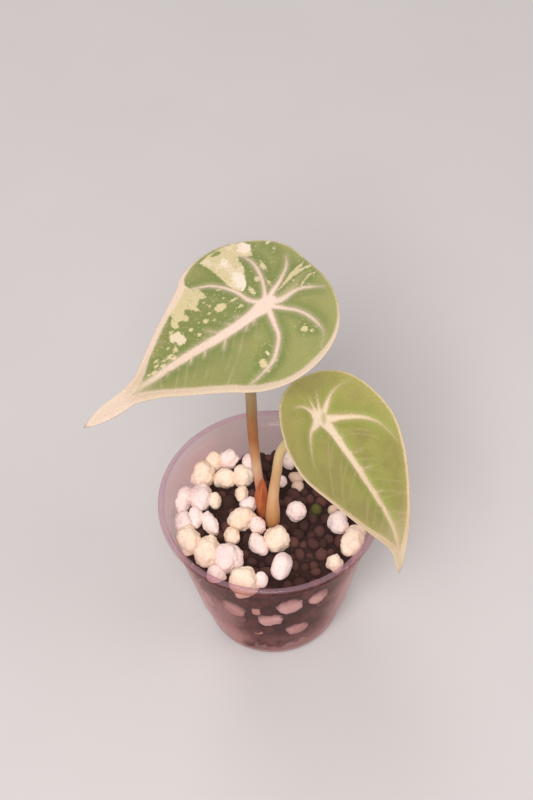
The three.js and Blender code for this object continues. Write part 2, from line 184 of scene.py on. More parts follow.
class Finish(Tree):
    """A material round one Principled shader, whose constant sockets are given by name."""

    def __init__(self, name, constants):
        self.material = bpy.data.materials.new(name)
        self.material.use_nodes = True
        super().__init__(self.material.node_tree)
        self.skin = self.tree.nodes["Principled BSDF"]
        for socket, value in constants.items():
            self.skin.inputs[socket].default_value = value

    def place(self):
        """The spot on the piece in millimetres."""
        spot = self.node("ShaderNodeTexCoord", output="Object")
        return self.node("ShaderNodeVectorMath", {"operation": "SCALE"}, {0: spot, "Scale": 1 / MM})

    def mark(self, name, output="Fac"):
        """A value that the piece's mesh keeps for each of its points."""
        return self.node("ShaderNodeAttribute", {"attribute_name": name}, output=output)

    def parts(self, vector):
        """A vector's three numbers."""
        split = self.node("ShaderNodeSeparateXYZ", {}, {0: vector}).socket.node
        return [Wire(self, number) for number in split.outputs]

    def grain(self, place, scale, detail=2, roughness=0.5, stretch=(1, 1, 1)):
        """Soft noise from 0 to 1 with about this many lumps a millimetre."""
        if stretch != (1, 1, 1):
            place = self.node("ShaderNodeVectorMath", {"operation": "MULTIPLY"}, {0: place, 1: stretch})
        inputs = {"Vector": place, "Scale": scale, "Detail": detail, "Roughness": roughness}
        return self.node("ShaderNodeTexNoise", {}, inputs)

    def step(self, value, low, high):
        """0 where the value is at low, 1 where it is at high, eased between them."""
        ease = {"interpolation_type": "SMOOTHSTEP"}
        if low > high:
            return 1 - self.step(value, high, low)
        return self.node("ShaderNodeMapRange", ease, {"Value": value, "From Min": low, "From Max": high})

    def blend(self, share, first, second, mode="MIX"):
        """Colour that goes from the first to the second as the share goes from 0 to 1."""
        settings = {"data_type": "RGBA", "blend_type": mode}
        return self.node("ShaderNodeMix", settings, {0: share, 6: first, 7: second}, output=2)

    def coated(self, colour, *coats):
        """A colour under coats of others. Each coat is the share that it covers, and its colour."""
        for share, coat in coats:
            colour = self.blend(share, colour, coat)
        return colour

    def mixed(self, share, first, second):
        """A shader that goes from the first to the second as the share goes from 0 to 1."""
        return self.node("ShaderNodeMixShader", {}, {0: share, 1: first, 2: second})

    def bump(self, height, distance, strength=1):
        inputs = {"Height": height, "Distance": distance * MM, "Strength": strength}
        return self.node("ShaderNodeBump", {}, inputs)

    def show(self, colour, **others):
        """Wires the colour and what else varies into the Principled shader, and returns the material."""
        for socket, value in {"Base Color": colour, **others}.items():
            self.plug(self.skin.inputs[socket], value)
        return self.material


def eased(corners, radius, steps=4):
    """An outline with each inner corner rounded off."""
    corners = [Vector(corner) for corner in corners]
    outline = [corners[0]]
    for before, corner, after in zip(corners, corners[1:], corners[2:]):
        back = before - corner
        forth = after - corner
        cut = min(radius, back.length * 0.45, forth.length * 0.45)
        start = corner + back.normalized() * cut
        end = corner + forth.normalized() * cut
        for k in range(steps + 1):
            along = k / steps
            outline.append(start.lerp(corner, along).lerp(corner.lerp(end, along), along))
    outline.append(corners[-1])
    return outline


def placed(name, places, faces, finishes, face_finish=None):
    """A smooth object from places in millimetres."""
    mesh = bpy.data.meshes.new(name)
    mesh.from_pydata([tuple(place) for place in np.asarray(places) * MM], [], faces)
    for finish in finishes:
        mesh.materials.append(finish)
    if face_finish is not None:
        mesh.polygons.foreach_set("material_index", face_finish)
    mesh.shade_smooth()
    return stand(name, mesh)


def turned(name, outline, sides, finishes):
    """A closed solid of revolution from an outline that starts and ends on the axis."""
    places = [(0, 0, outline[0][1])]
    for radius, height in outline[1:-1]:
        for side in range(sides):
            angle = 2 * math.pi * side / sides
            places.append((radius * math.cos(angle), radius * math.sin(angle), height))
    places.append((0, 0, outline[-1][1]))
    rings = len(outline) - 2
    last = len(places) - 1
    faces = []
    for side in range(sides):
        beside = (side + 1) % sides
        faces.append((0, 1 + beside, 1 + side))
        for ring in range(rings - 1):
            low = 1 + ring * sides
            faces.append((low + side, low + beside, low + sides + beside, low + sides + side))
        top = 1 + (rings - 1) * sides
        faces.append((top + side, top + beside, last))
    return placed(name, places, faces, finishes)


def clear_plastic():
    """A see-through film with some haze in it, and a painted pink sheen, highlight and rim reflection laid on
    as haze, under a gloss that grows towards the cup's outline.
    """
    finish = Finish("clear_plastic", {"Roughness": 0.3})
    place = finish.place()
    across, deep, height = finish.parts(place)
    turn = deep.math("ARCTAN2", deep, across)
    cloud = finish.grain(place, 0.09, 3)
    drops = finish.grain(place, 0.8, 2)
    # Haze low on the left, which also carries a painted pink sheen.
    left = finish.step(turn, math.radians(-92), math.radians(-130)) * finish.step(height, 42, 30)
    foot = finish.step(height, 20, 8)
    steam = finish.step(across, 4, -20) * finish.step(deep, -6, 8)
    steam = steam * finish.step(height, 40, 46) * finish.step(height, 54, 50)
    sway = (cloud - 0.5) * 0.5 + (height - 30) * 0.004
    # Painted highlight: a soft pink strip up the front right of the wall, where light would reflect.
    painted_highlight = finish.step(turn + sway, -1, -0.6) * finish.step(turn + sway, -0.2, -0.5)
    painted_highlight = painted_highlight * finish.step(height + sway * 20, 6, 30) * finish.step(height, 50, 34)
    # The rolled rim: the deeper tint of its thicker plastic, and a painted pink reflection.
    rim = finish.step(height, RIM_TINT_FROM, RIM_TINT_FULL)
    # The haze share, with the painted sheen, highlight and reflection added to it.
    milk_and_painted_light = HAZE_ALL_OVER + HAZE_LEFT_AND_SHEEN * left + HAZE_FOOT * foot + HAZE_STEAM * steam
    milk_and_painted_light = finish.step(cloud, 0.3, 0.65) * milk_and_painted_light + painted_highlight * HAZE_PAINTED_HIGHLIGHT + rim * HAZE_RIM_REFLECTION
    milk_and_painted_light = milk_and_painted_light + finish.step(drops, 0.55, 0.75) * HAZE_DROPS
    # Paler pink where the highlight is painted.
    painted_highlight_coat = (painted_highlight, paint(250, 184, 172))
    # Mauve where the rim's reflection is painted.
    finish.show(finish.coated(paint(220, 148, 143), painted_highlight_coat, (rim, paint(206, 162, 176))))
    plain, tinted, clouded = (
        finish.node("ShaderNodeBsdfTransparent", {}, {"Color": paint(*colour)})
        for colour in ((247, 238, 239), (222, 204, 216), (242, 230, 228))
    )
    clear = finish.mixed(rim, plain, tinted)
    clear = finish.mixed(finish.step(cloud, 0.6, 0.4) * 0.5, clear, clouded)
    film = finish.mixed(milk_and_painted_light, clear, Wire(finish, finish.skin.outputs[0]))
    gloss = finish.node("ShaderNodeBsdfGlossy", {}, {"Color": paint(250, 222, 222), "Roughness": 0.06})
    facing = finish.node("ShaderNodeLayerWeight", {}, {"Blend": 0.5}, output="Facing")
    edge = facing.math("POWER", facing, 8) * 0.6 + 0.01
    shell = finish.mixed(edge, film, gloss)
    finish.plug(finish.tree.nodes["Material Output"].inputs["Surface"], shell)
    return finish.material


step_low = STEP_HEIGHT - 0.4
rim_low = CUP_HEIGHT - RIM_DEPTH
outer_line = [
    (0, 0),
    (FOOT_RADIUS + 0.6, 0),
    (FOOT_RADIUS + FOOT_CORNER, FOOT_CORNER),
    (STEP_LOW_RADIUS, step_low),
    (STEP_RADIUS, STEP_HEIGHT),
    (WALL_TOP_RADIUS, COLLAR_BOTTOM),
    (COLLAR_RADIUS, COLLAR_BOTTOM + 0.6),
    (COLLAR_RADIUS + 0.1, rim_low),
    (RIM_RADIUS - 0.2, rim_low),
    (RIM_RADIUS, CUP_HEIGHT - 1.2),
    (RIM_RADIUS - 0.4, CUP_HEIGHT),
]
inner_line = [
    (COLLAR_RADIUS - WALL + 0.2, CUP_HEIGHT),
    (COLLAR_RADIUS - WALL, COLLAR_BOTTOM + 0.8),
    (WALL_TOP_RADIUS - WALL, COLLAR_BOTTOM),
    (STEP_RADIUS - WALL, STEP_HEIGHT + 0.3),
    (STEP_LOW_RADIUS - WALL, step_low + 0.2),
    (FOOT_RADIUS + FOOT_CORNER - WALL, FOOT_CORNER),
    (FOOT_RADIUS + 0.4, WALL),
    (0, WALL),
]
plastic = clear_plastic()
cup = turned("clear_cup", eased(outer_line + inner_line, CORNER_EASE), CUP_SIDES, [plastic])
for hole in range(DRAIN_HOLES):
    angle = DRAIN_FIRST + 2 * math.pi * hole / DRAIN_HOLES
    middle = (DRAIN_CIRCLE * math.cos(angle) * MM, DRAIN_CIRCLE * math.sin(angle) * MM, 0)
    bpy.ops.mesh.primitive_cylinder_add(
        radius=DRAIN_RADIUS * MM, depth=DRILL_LENGTH * MM, vertices=DRILL_SIDES, location=middle
    )
    drill = bpy.context.object
    drilling = cup.modifiers.new("drain", "BOOLEAN")
    drilling.object = drill
    drilling.solver = "EXACT"
    graph = bpy.context.evaluated_depsgraph_get()
    drilled = bpy.data.meshes.new_from_object(cup.evaluated_get(graph))
    cup.modifiers.clear()
    cup.data = drilled
    bpy.data.objects.remove(drill)
cup.data.materials.clear()
cup.data.materials.append(plastic)
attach(cup, "root")
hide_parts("cup")

# Filling
# Dark baked-clay granules of two to five millimetres, poured in loose round the roots. They fill the cup to
# twelve millimetres under its rim and press against the clear wall. One near the plant has gone green with
# moss. They stand on a core of the same stuff, which closes the gaps between them.
SOIL_LEVEL = 44
GRANULE_SPACING = 2.9
GRANULE_RADII = (1.3, 2.35)
GRANULE_SEED = 4
GRANULE_SHAKE = 0.5
GRANULE_SQUASH = (0.78, 1.12)
ANY_TURN = 6.28
DENSEST = 1e6
GRANULE_LUMPS = 0.75
GRANULE_LUMP_DEPTH = 1.1
GRANULE_CLEARANCE = 1.9
WALL_SPREAD = 1.35
GRANULE_ROOM = 0.45
CORE_INSET = 1.7
CORE_TOP_INSET = 2.1
CORE_TOP_EDGE = 42.8
CORE_TOP_MIDDLE = 43.2
CORE_CORNER_EASE = 1.5
CORE_SIDES = 96
MOSS_PLACE = (13.1, 3.5, 44.5)
MOSS_REACH = 2.6
PALE_CHIPS = 0.93


class Recipe(Tree):
    """A geometry tree with named inputs, built step by step and applied to an object by make()."""

    def __init__(self, name, inputs):
        super().__init__(bpy.data.node_groups.new(name, "GeometryNodeTree"))
        sockets = self.tree.interface
        sockets.new_socket(name="Geometry", in_out="OUTPUT", socket_type="NodeSocketGeometry")
        for socket, kind in {"Geometry": "Geometry", **inputs}.items():
            sockets.new_socket(name=socket, in_out="INPUT", socket_type="NodeSocket" + kind)
        self.source = self.tree.nodes.new("NodeGroupInput")

    def input(self, name):
        return Wire(self, self.source.outputs[name])

    def chance(self, low, high, seed):
        """A random number for each point, or a random vector where low and high are vectors."""
        if isinstance(low, tuple):
            settings = {"data_type": "FLOAT_VECTOR"}
            return self.node("FunctionNodeRandomValue", settings, {0: low, 1: high, "Seed": seed})
        return self.node("FunctionNodeRandomValue", {}, {2: low, 3: high, "Seed": seed}, output=1)

    def scaled(self, vector, size):
        return self.node("ShaderNodeVectorMath", {"operation": "SCALE"}, {0: vector, "Scale": size})

    def roughened(self, geometry, lumps, depth, swell=0):
        """The surface swollen, and moved in and out this deep by noise of this many lumps a millimetre."""
        place = self.scaled(self.node("GeometryNodeInputPosition"), 1 / MM)
        noise = self.node("ShaderNodeTexNoise", {}, {"Vector": place, "Scale": lumps, "Detail": 2})
        out = self.scaled(self.node("GeometryNodeInputNormal"), (noise - 0.5) * (depth * MM) + swell * MM)
        return self.node("GeometryNodeSetPosition", {}, {"Geometry": geometry, "Offset": out})

    def end(self, geometry):
        real = self.node("GeometryNodeRealizeInstances", {}, {"Geometry": geometry})
        smooth = self.node("GeometryNodeSetShadeSmooth", {}, {"Geometry": real})
        inputs = {"Geometry": smooth, "Material": self.input("Finish")}
        dressed = self.node("GeometryNodeSetMaterial", {}, inputs)
        result = self.tree.nodes.new("NodeGroupOutput")
        self.plug(result.inputs["Geometry"], dressed)

    def make(self, base, values):
        """The plain mesh that the tree makes of an object."""
        growing = base.modifiers.new(self.tree.name, "NODES")
        growing.node_group = self.tree
        for socket in self.tree.interface.items_tree:
            if socket.name in values:
                growing[socket.identifier] = values[socket.name]
        graph = bpy.context.evaluated_depsgraph_get()
        mesh = bpy.data.meshes.new_from_object(base.evaluated_get(graph))
        base.modifiers.clear()
        return mesh


def inside_radius(height):
    """The cup's inner radius at a height."""
    rows = sorted((level, radius) for radius, level in inner_line[1:-1])
    return np.interp(height, *zip(*rows))


def keep_inside(mesh, room=0.1, soft=0.6):
    """Presses what stands out through the cup's wall or floor back inside it, over a last soft stretch."""
    places = np.array([vertex.co for vertex in mesh.vertices]) / MM
    places[:, 2] = np.maximum(places[:, 2], WALL + room)
    reach = np.hypot(places[:, 0], places[:, 1])
    limit = inside_radius(places[:, 2]) - room
    over = np.maximum(reach - limit + soft, 0)
    pressed = np.where(over > 0, limit - soft * np.exp(-over / soft), reach)
    places[:, :2] *= (pressed / np.maximum(reach, 0.01))[:, None]
    mesh.vertices.foreach_set("co", (places * MM).astype(np.float32).ravel())


def baked_clay():
    finish = Finish("dark_granules", {"Specular IOR Level": 0.3})
    place = finish.place()
    tone = finish.mark("tone")
    crumb = finish.grain(place, 2.2, 4, 0.65)
    ends = {0: place, 1: MOSS_PLACE}
    gap = finish.node("ShaderNodeVectorMath", {"operation": "DISTANCE"}, ends, output="Value")
    moss = finish.step(gap + (crumb - 0.5) * 2, MOSS_REACH, MOSS_REACH * 0.4)
    chip = finish.blend(crumb, paint(206, 168, 146), paint(240, 210, 190))
    colour = finish.coated(
        paint(48, 28, 26),
        (tone, paint(98, 61, 55)),
        (finish.step(crumb, 0.4, 0.8) * 0.35, paint(112, 78, 68)),
        (finish.step(tone, PALE_CHIPS, PALE_CHIPS + 0.01), chip),
        (moss * 0.6, paint(104, 108, 40)),
    )
    return finish.show(colour, Roughness=0.82 + crumb * 0.15, Normal=finish.bump(crumb, 0.25, 0.8))


granule_finish = baked_clay()
core_line = [
    (0, WALL + CORE_INSET),
    (FOOT_RADIUS, WALL + CORE_INSET),
    (inside_radius(STEP_HEIGHT - 0.5) - CORE_INSET, STEP_HEIGHT - 0.5),
    (inside_radius(STEP_HEIGHT + 0.5) - CORE_INSET, STEP_HEIGHT + 0.5),
    (inside_radius(SOIL_LEVEL) - CORE_TOP_INSET, CORE_TOP_EDGE),
    (0, CORE_TOP_MIDDLE),
]
core = turned("granule_core", eased(core_line, CORE_CORNER_EASE), CORE_SIDES, [granule_finish])
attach(core, "root")
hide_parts("substrate")

standing_nodes = [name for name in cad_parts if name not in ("cup", "substrate")]
obstacles = bmesh.new()
for node in standing_nodes:
    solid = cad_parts[node].data.copy()
    if node.startswith("pumice_wall"):
        low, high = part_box(node)
        middle = (Vector(low) + Vector(high)) / 2
        spread = Matrix.Translation(middle) @ Matrix.Scale(WALL_SPREAD, 4) @ Matrix.Translation(-middle)
        solid.transform(spread)
    obstacles.from_mesh(solid)
    bpy.data.meshes.remove(solid)
obstacle_mesh = bpy.data.meshes.new("obstacles")
obstacles.to_mesh(obstacle_mesh)
obstacle = bpy.data.objects.new("obstacles", obstacle_mesh)

scatter = Recipe(
    "scattered_granules",
    {
        "Spacing": "Float",
        "Smallest": "Float",
        "Largest": "Float",
        "Seed": "Int",
        "Clear Of": "Object",
        "Clearance": "Float",
        "Finish": "Material",
    },
)
seeds = scatter.node(
    "GeometryNodeDistributePointsOnFaces",
    {"distribute_method": "POISSON"},
    {
        "Mesh": scatter.input("Geometry"),
        "Distance Min": scatter.input("Spacing"),
        "Density Max": DENSEST,
        "Seed": scatter.input("Seed"),
    },
)
shake = scatter.chance((-GRANULE_SHAKE * MM,) * 3, (GRANULE_SHAKE * MM,) * 3, 1)
shaken = scatter.node("GeometryNodeSetPosition", {}, {"Geometry": seeds, "Offset": shake})
other = {"Object": scatter.input("Clear Of")}
others = scatter.node("GeometryNodeObjectInfo", {}, other, output="Geometry")
gap = scatter.node("GeometryNodeProximity", {}, {"Geometry": others}, output="Distance")
too_near = gap.math("LESS_THAN", gap, scatter.input("Clearance"))
free = scatter.node("GeometryNodeDeleteGeometry", {}, {"Geometry": shaken, "Selection": too_near})
pellet = scatter.node("GeometryNodeMeshIcoSphere", {}, {"Radius": 1, "Subdivisions": 2})
size = scatter.chance(scatter.input("Smallest"), scatter.input("Largest"), 2)
any_turn = scatter.chance((0, 0, 0), (ANY_TURN,) * 3, 3)
turned_any_way = scatter.node("FunctionNodeEulerToRotation", {}, {0: any_turn})
squash = scatter.chance((GRANULE_SQUASH[0],) * 3, (GRANULE_SQUASH[1],) * 3, 4)
pose = {"Rotation": turned_any_way, "Scale": scatter.scaled(squash, size)}
pellets = scatter.node("GeometryNodeInstanceOnPoints", {}, {"Points": free, "Instance": pellet, **pose})
tone = {"Geometry": pellets, "Name": "tone", "Value": scatter.chance(0.0, 1.0, 5)}
toned = scatter.node("GeometryNodeStoreNamedAttribute", {"domain": "INSTANCE"}, tone)
realized = scatter.node("GeometryNodeRealizeInstances", {}, {"Geometry": toned})
scatter.end(scatter.roughened(realized, GRANULE_LUMPS, GRANULE_LUMP_DEPTH))
granule_mesh = scatter.make(
    core,
    {
        "Spacing": GRANULE_SPACING * MM,
        "Smallest": GRANULE_RADII[0] * MM,
        "Largest": GRANULE_RADII[1] * MM,
        "Seed": GRANULE_SEED,
        "Clear Of": obstacle,
        "Clearance": GRANULE_CLEARANCE * MM,
        "Finish": granule_finish,
    },
)
keep_inside(granule_mesh, GRANULE_ROOM)
granules = stand("granules", granule_mesh)
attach(granules, "root")

# Pumice
# Rounded crumbs of cream and of pinkish white pumice, mixed through the filling. Most lie on the surface,
# round the left and the back of the cup, and some press against its wall lower down, with painted shade
# darkening them as they curve away from the wall.
PUMICE_VOXEL = 0.36
PUMICE_LUMPS = 0.24
PUMICE_GRAIN = 0.9
# How each sort is rounded off, swollen and roughened, how far it stays off the wall, and how softly it
# presses against it.
SURFACE_CRUMB = {
    "smoothing": 20, "swell": 0.65, "lump_depth": 2.5, "grain_depth": 0.85, "room": 0.1, "soft": 0.5,
}
WALL_CRUMB = {
    "smoothing": 45, "swell": 1, "lump_depth": 3, "grain_depth": 2, "room": 0.02, "soft": 1.6,
}
EGG_CRUMB = {"smoothing": 45, "swell": 0.4, "lump_depth": 0.5, "grain_depth": 0.1}
SMOOTH_EGG = "pumice_white_01"


def pumice(name, pale, dark, shade=None):
    """Rough pale stone. Given a shade colour, painted shade darkens it as it curves away from the cup's wall.
    """
    finish = Finish(name, {"Specular IOR Level": 0.25})
    place = finish.place()
    patch = finish.grain(place, 0.12, 2)
    crumb = finish.grain(place, 1.6, 4, 0.6)
    pores = finish.step(finish.grain(place, 2.4, 2), 0.36, 0.28)
    colour = finish.coated(
        pale,
        (finish.step(patch, 0.3, 0.7) * 0.55, dark),
        (finish.step(crumb, 0.6, 0.25) * 0.3, dark),
        (pores * 0.35, paint(170, 130, 110)),
    )
    # Painted shade: darker the further the surface lies in from the wall.
    if shade:
        across, deep, height = finish.parts(place)
        reach = across.math("SQRT", across * across + deep * deep)
        slope = (WALL_TOP_RADIUS - STEP_RADIUS) / (COLLAR_BOTTOM - STEP_HEIGHT)
        depth = STEP_RADIUS - WALL + (height - STEP_HEIGHT) * slope - reach
        colour = finish.blend(finish.step(depth + (patch - 0.5) * 2, 0.3, 2.4), colour, shade)
    bump = finish.bump(crumb - pores * 0.8, 0.22, 0.6)
    return finish.show(colour, Roughness=0.8 + crumb * 0.15, Normal=bump)


weather = Recipe(
    "weathered_crumb",
    {"Lump Depth": "Float", "Swell": "Float", "Grain Depth": "Float", "Finish": "Material"},
)
lumpy = weather.roughened(
    weather.input("Geometry"), PUMICE_LUMPS, weather.input("Lump Depth"), weather.input("Swell")
)
weather.end(weather.roughened(lumpy, PUMICE_GRAIN, weather.input("Grain Depth")))


def crumbs(name, nodes, finish, sort):
    """One piece for a group of crumbs, each rounded from its node's solid and kept inside the wall."""
    heap = bmesh.new()
    for node in nodes:
        shape = EGG_CRUMB if node == SMOOTH_EGG else sort
        lump = bmesh.new()
        lump.from_mesh(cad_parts[node].data)
        bmesh.ops.remove_doubles(lump, verts=lump.verts, dist=0.001 * MM)
        mesh = bpy.data.meshes.new(node)
        lump.to_mesh(mesh)
        rough = stand("crumb", mesh)
        remesh = rough.modifiers.new("remesh", "REMESH")
        remesh.mode = "VOXEL"
        remesh.voxel_size = PUMICE_VOXEL * MM
        smooth = rough.modifiers.new("smooth", "SMOOTH")
        smooth.iterations = shape["smoothing"]
        values = {
            "Lump Depth": shape["lump_depth"],
            "Swell": shape["swell"],
            "Grain Depth": shape["grain_depth"],
            "Finish": finish,
        }
        heap.from_mesh(weather.make(rough, values))
        bpy.data.objects.remove(rough)
    mesh = bpy.data.meshes.new(name)
    heap.to_mesh(mesh)
    keep_inside(mesh, sort["room"], sort["soft"])
    mesh.materials.append(finish)
    piece = stand(name, mesh)
    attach(piece, "root")
    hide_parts(*nodes)


cream_finish = pumice("pumice_cream", paint(253, 230, 210), paint(238, 206, 176))
white_finish = pumice("pumice_white", paint(253, 234, 228), paint(242, 206, 198))
# The crumbs against the wall, with painted shade away from it.
shaded_wall_finish = pumice("pumice_damp", paint(253, 232, 226), paint(196, 150, 140), paint(110, 74, 66))
for name, finish, slot, sort in (
    ("pumice_cream", cream_finish, "pumice_cream", SURFACE_CRUMB),
    ("pumice_white", white_finish, "pumice_white", SURFACE_CRUMB),
    ("pumice_wall", shaded_wall_finish, "pumice_white", WALL_CRUMB),
):
    nodes = [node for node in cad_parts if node.startswith(name)]
    crumbs(name + "_crumbs", nodes, finish, sort)

# Corm and roots
# The young plant's starchy corm, with its roots grown from it, buried in the granules. It keeps the shape of
# its solid, in a brown skin with fine rings.
corm_finish = Finish("corm_brown", {"Specular IOR Level": 0.3, "Roughness": 0.8})
corm_place = corm_finish.place()
corm_rings = corm_finish.grain(corm_place, 0.9, 3, 0.6, (0.3, 0.3, 2))
corm_colour = corm_finish.blend(corm_rings, paint(92, 62, 42), paint(176, 138, 98))
corm_skin = corm_finish.show(corm_colour, Normal=corm_finish.bump(corm_rings, 0.3, 0.7))
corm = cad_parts["corm_with_roots"]
corm.data.materials.clear()
corm.data.materials.append(corm_skin)

# Large blade
# The older blade, grown as one piece: a velvety heart, held from behind by its stalk well inside the margin.
# Its sunk ribs are pinkish white with short spurs, its margin has a pale band, and cream patches run in from
# one side. It is drawn in a flat frame of its own: u from the stalk's joint to the tip, and v across it.
BLADE_RINGS = 76
BLADE_STEPS = 540
BLADE_TRIM = 0.998
RING_CROWDING = 0.85
EDGE_THICKNESS = 0.3
BODY_THICKNESS = 0.55
EDGE_TAPER = 1.2
EDGE_ROUNDING = 0.06
QUILT_DEPTH = 0.5
QUILT_REACH = 2.6
WAVE_DEPTH = 0.2
WAVE_LENGTHS = (19, 12, 7.5, 5)
KEEL_DEPTH = 0.85
KEEL_INSET = 0.6
KEEL_REACH = 0.9
KEEL_FADE = 6
LARGE_BLADE = {
    "joint": (0.3, 8.3, 132),
    "heading": 206,
    "drop": 15,
    "roll": 3,
    "arch": 0.004,
    "front_bend": 0.004,
    "back_bend": 0.006,
    "twist": -0.004,
    "hook_start": 45,
    "hook": 0,
}
# Each point of the margin is u, v and the width of the pale band there, from the tip round the back of the
# blade to the tip again.
LARGE_MARGIN = [
    (57.5, -1.5, 3), (53.5, 0.5, 3), (47.5, 2, 3), (42.5, 2.5, 2.6), (36.5, 5.5, 2.2), (30, 10, 2),
    (22, 15.5, 1.9), (12.5, 22.5, 1.9), (4.5, 25.2, 1.5), (-4, 24.5, 1.6), (-11, 20.5, 0.9),
    (-15.5, 13.5, 0.4), (-17.5, 4, 0.3), (-16.3, -6.5, 0.25), (-14.3, -16, 0.3), (-8.5, -22.5, 0.35),
    (0, -26.5, 0.4), (8, -26.3, 0.5), (14.5, -23.5, 1.4), (17, -20.5, 2.1), (27, -13, 1.8), (35, -7, 2),
    (39.5, -4, 2.6), (44.5, -3, 3), (51, -3, 3), (55.5, -2.2, 3), (57.5, -1.5, 3),
]
# Each rib is a row of u, v, width and paleness from 0 to 1.
LARGE_RIBS = [
    [(-1.4, -0.4, 4.8, 1), (0.4, 0, 5.4, 1), (3, 0.4, 3.9, 1), (7.6, 0.9, 3.3, 1), (14.8, 0.9, 3, 1),
     (21.8, 0.2, 2.6, 1), (29.6, -0.2, 2.2, 1), (36, -0.4, 1.7, 0.8), (42, -0.8, 1.4, 0.3),
     (52, -1.3, 0.8, 0)],
    [(0.5, -1.5, 1.8, 1), (2.6, -4.2, 1.3, 1), (4.1, -8.9, 1.1, 1), (6.2, -12.5, 0.9, 1),
     (9, -15.7, 0.8, 1), (12.1, -17.4, 0.7, 0.9), (14.4, -18.4, 0.4, 0.7)],
    [(-0.8, -1.6, 1.8, 1), (-2.2, -4.4, 1.1, 1), (-3.5, -8.8, 1, 1), (-4.1, -13.3, 0.9, 1),
     (-3.7, -16.9, 0.7, 0.9), (-2.3, -20.3, 0.4, 0.7)],
    [(-1.2, -1, 2.2, 1), (-3.6, -2.5, 1.7, 1), (-7.8, -5.3, 1, 1), (-11, -8.5, 0.8, 0.9),
     (-12.6, -12, 0.3, 0.4)],
    [(-1.6, 0, 2.6, 1), (-4.4, 1.2, 2.1, 0.85), (-9.9, 1.1, 1.2, 0.85), (-12.5, 2.4, 0.9, 0.9),
     (-15.4, 4.8, 0.3, 0.5)],
    [(-1, 1, 2, 1), (-3.9, 4.4, 1.2, 1), (-6.2, 7.2, 1, 1), (-7.9, 11.1, 0.9, 1), (-8.5, 14.8, 0.7, 0.9),
     (-8.3, 18.1, 0.4, 0.45), (-5.5, 21.5, 0.3, 0.3)],
    [(-0.2, 1.8, 1.9, 1), (0.7, 6.6, 1.4, 1), (1.6, 10.8, 1.1, 1), (3.7, 13.9, 1.1, 1),
     (6.8, 16.6, 1.1, 0.95), (10.2, 17.7, 0.8, 0.85), (14.6, 18.4, 0.5, 0.75)],
]
# Spurs beside the midrib: where each leaves it along u, its side, its length and its paleness.
LARGE_SPURS = [
    (3.2, 1, 3.2, 1), (5.6, 1, 3.4, 0.9), (6, -1, 2.9, 0.8), (9.2, -1, 2.6, 0.9), (12.6, 1, 4.2, 0.9),
    (13.4, -1, 4.8, 0.7), (16.4, -1, 2.4, 0.8), (18.6, 1, 3, 0.9), (20.4, -1, 1.9, 0.7), (23, 1, 2.6, 0.9),
    (24.6, -1, 1.8, 0.7), (27, 1, 1.7, 0.7), (30.4, 1, 1.9, 0.6), (31.5, -1, 1.3, 0.6),
]
LARGE_CREAM = [
    [(7.9, -24.6), (4.8, -25.6), (0.9, -25.8), (-2.6, -25.2), (-5.3, -24), (-6.6, -21.7), (-5.7, -19.6),
     (-5.1, -17.7), (-3.8, -18.4), (-1.8, -20.2), (-1.3, -18.3), (-1.4, -15.4), (-0.3, -12.4), (0.9, -9.2),
     (2.3, -8.1), (3.8, -9.4), (4.9, -11.8), (5.2, -14.3), (5.8, -17.5), (6.5, -20.8)],
    [(15.2, -22.6), (14.7, -20.3), (13.9, -18.2), (11.9, -16.9), (11.5, -13.6), (11.7, -12.4),
     (13.2, -13.2), (14.2, -12.3), (15.2, -11.3), (14.9, -9.3), (15.8, -10.1), (17, -11.9), (18.5, -12.9),
     (18.9, -11.3), (18.4, -9.8), (19.2, -8.8), (20.5, -10.2), (21.6, -10.4), (22.1, -8.8), (23.3, -9),
     (23.7, -10.8), (22.2, -12.7), (22.5, -15.5), (18.7, -19.5), (17.1, -20.8)],
    [(-4.9, -2), (-7.1, -3.1), (-9.8, -4.8), (-11.7, -5.6), (-13.3, -6), (-15.4, -6.5), (-14, -5.2),
     (-12.5, -4.8), (-14.7, -4.7), (-16.4, -4.3), (-16.3, -3.7), (-14.3, -3.9), (-12.3, -3.7),
     (-10.8, -3.5), (-8.6, -2.8), (-6.3, -2.1)],
    [(-10.6, 0.7), (-12.2, -0.7), (-14.4, -1.5), (-16.8, -1.1), (-14.5, -0.9), (-12.4, -0.1)],
]
# Cream spots: u, v, half the length along u, half along v.
LARGE_SPOTS = [
    (10, -7, 1.6, 1.3), (24.3, -6.8, 1.8, 1.5), (23.5, -5.1, 1.4, 1.5), (24.5, -8.9, 0.6, 0.5),
    (19.8, -6, 0.6, 0.6), (18.7, -3.3, 0.6, 0.5), (15.2, -5.7, 0.8, 0.7), (13.1, -4.6, 0.4, 0.5),
    (26.1, -3.5, 0.6, 0.8), (27.6, -5.2, 0.4, 0.3), (28.4, -2.9, 1, 0.5), (27.6, -1.9, 0.8, 0.4),
    (30.4, -2.9, 0.6, 0.4), (32.2, -4, 0.7, 0.3), (32.6, -2.8, 0.6, 0.35), (31.2, -1.7, 1, 0.5),
    (33.9, -1.8, 0.8, 0.4), (35.3, -2, 0.5, 0.3), (-4.8, 13.8, 0.9, 0.9), (-6.2, 15.5, 0.5, 0.4),
    (9, 15.5, 1, 1.4), (6.6, 13.7, 0.4, 0.7), (8.9, 18.1, 0.3, 0.4), (5.7, 16.8, 0.4, 0.3),
    (-5.8, -12.5, 0.6, 1.7), (-2.4, -9.4, 0.8, 0.9), (-4.4, -6, 0.3, 1.3), (0.6, -6.2, 0.6, 1.6),
    (6.1, -7, 1.1, 0.4), (5.5, -3.9, 1, 0.4), (7.9, -9.2, 0.35, 0.35), (12.8, -11.3, 0.4, 0.3),
    (12.3, -9.3, 0.3, 0.6), (13.3, -7.3, 0.4, 0.3), (-10.7, -19.4, 0.7, 0.5), (-11, -16.2, 0.3, 0.5),
    (7.2, -12.9, 1, 0.3),
]
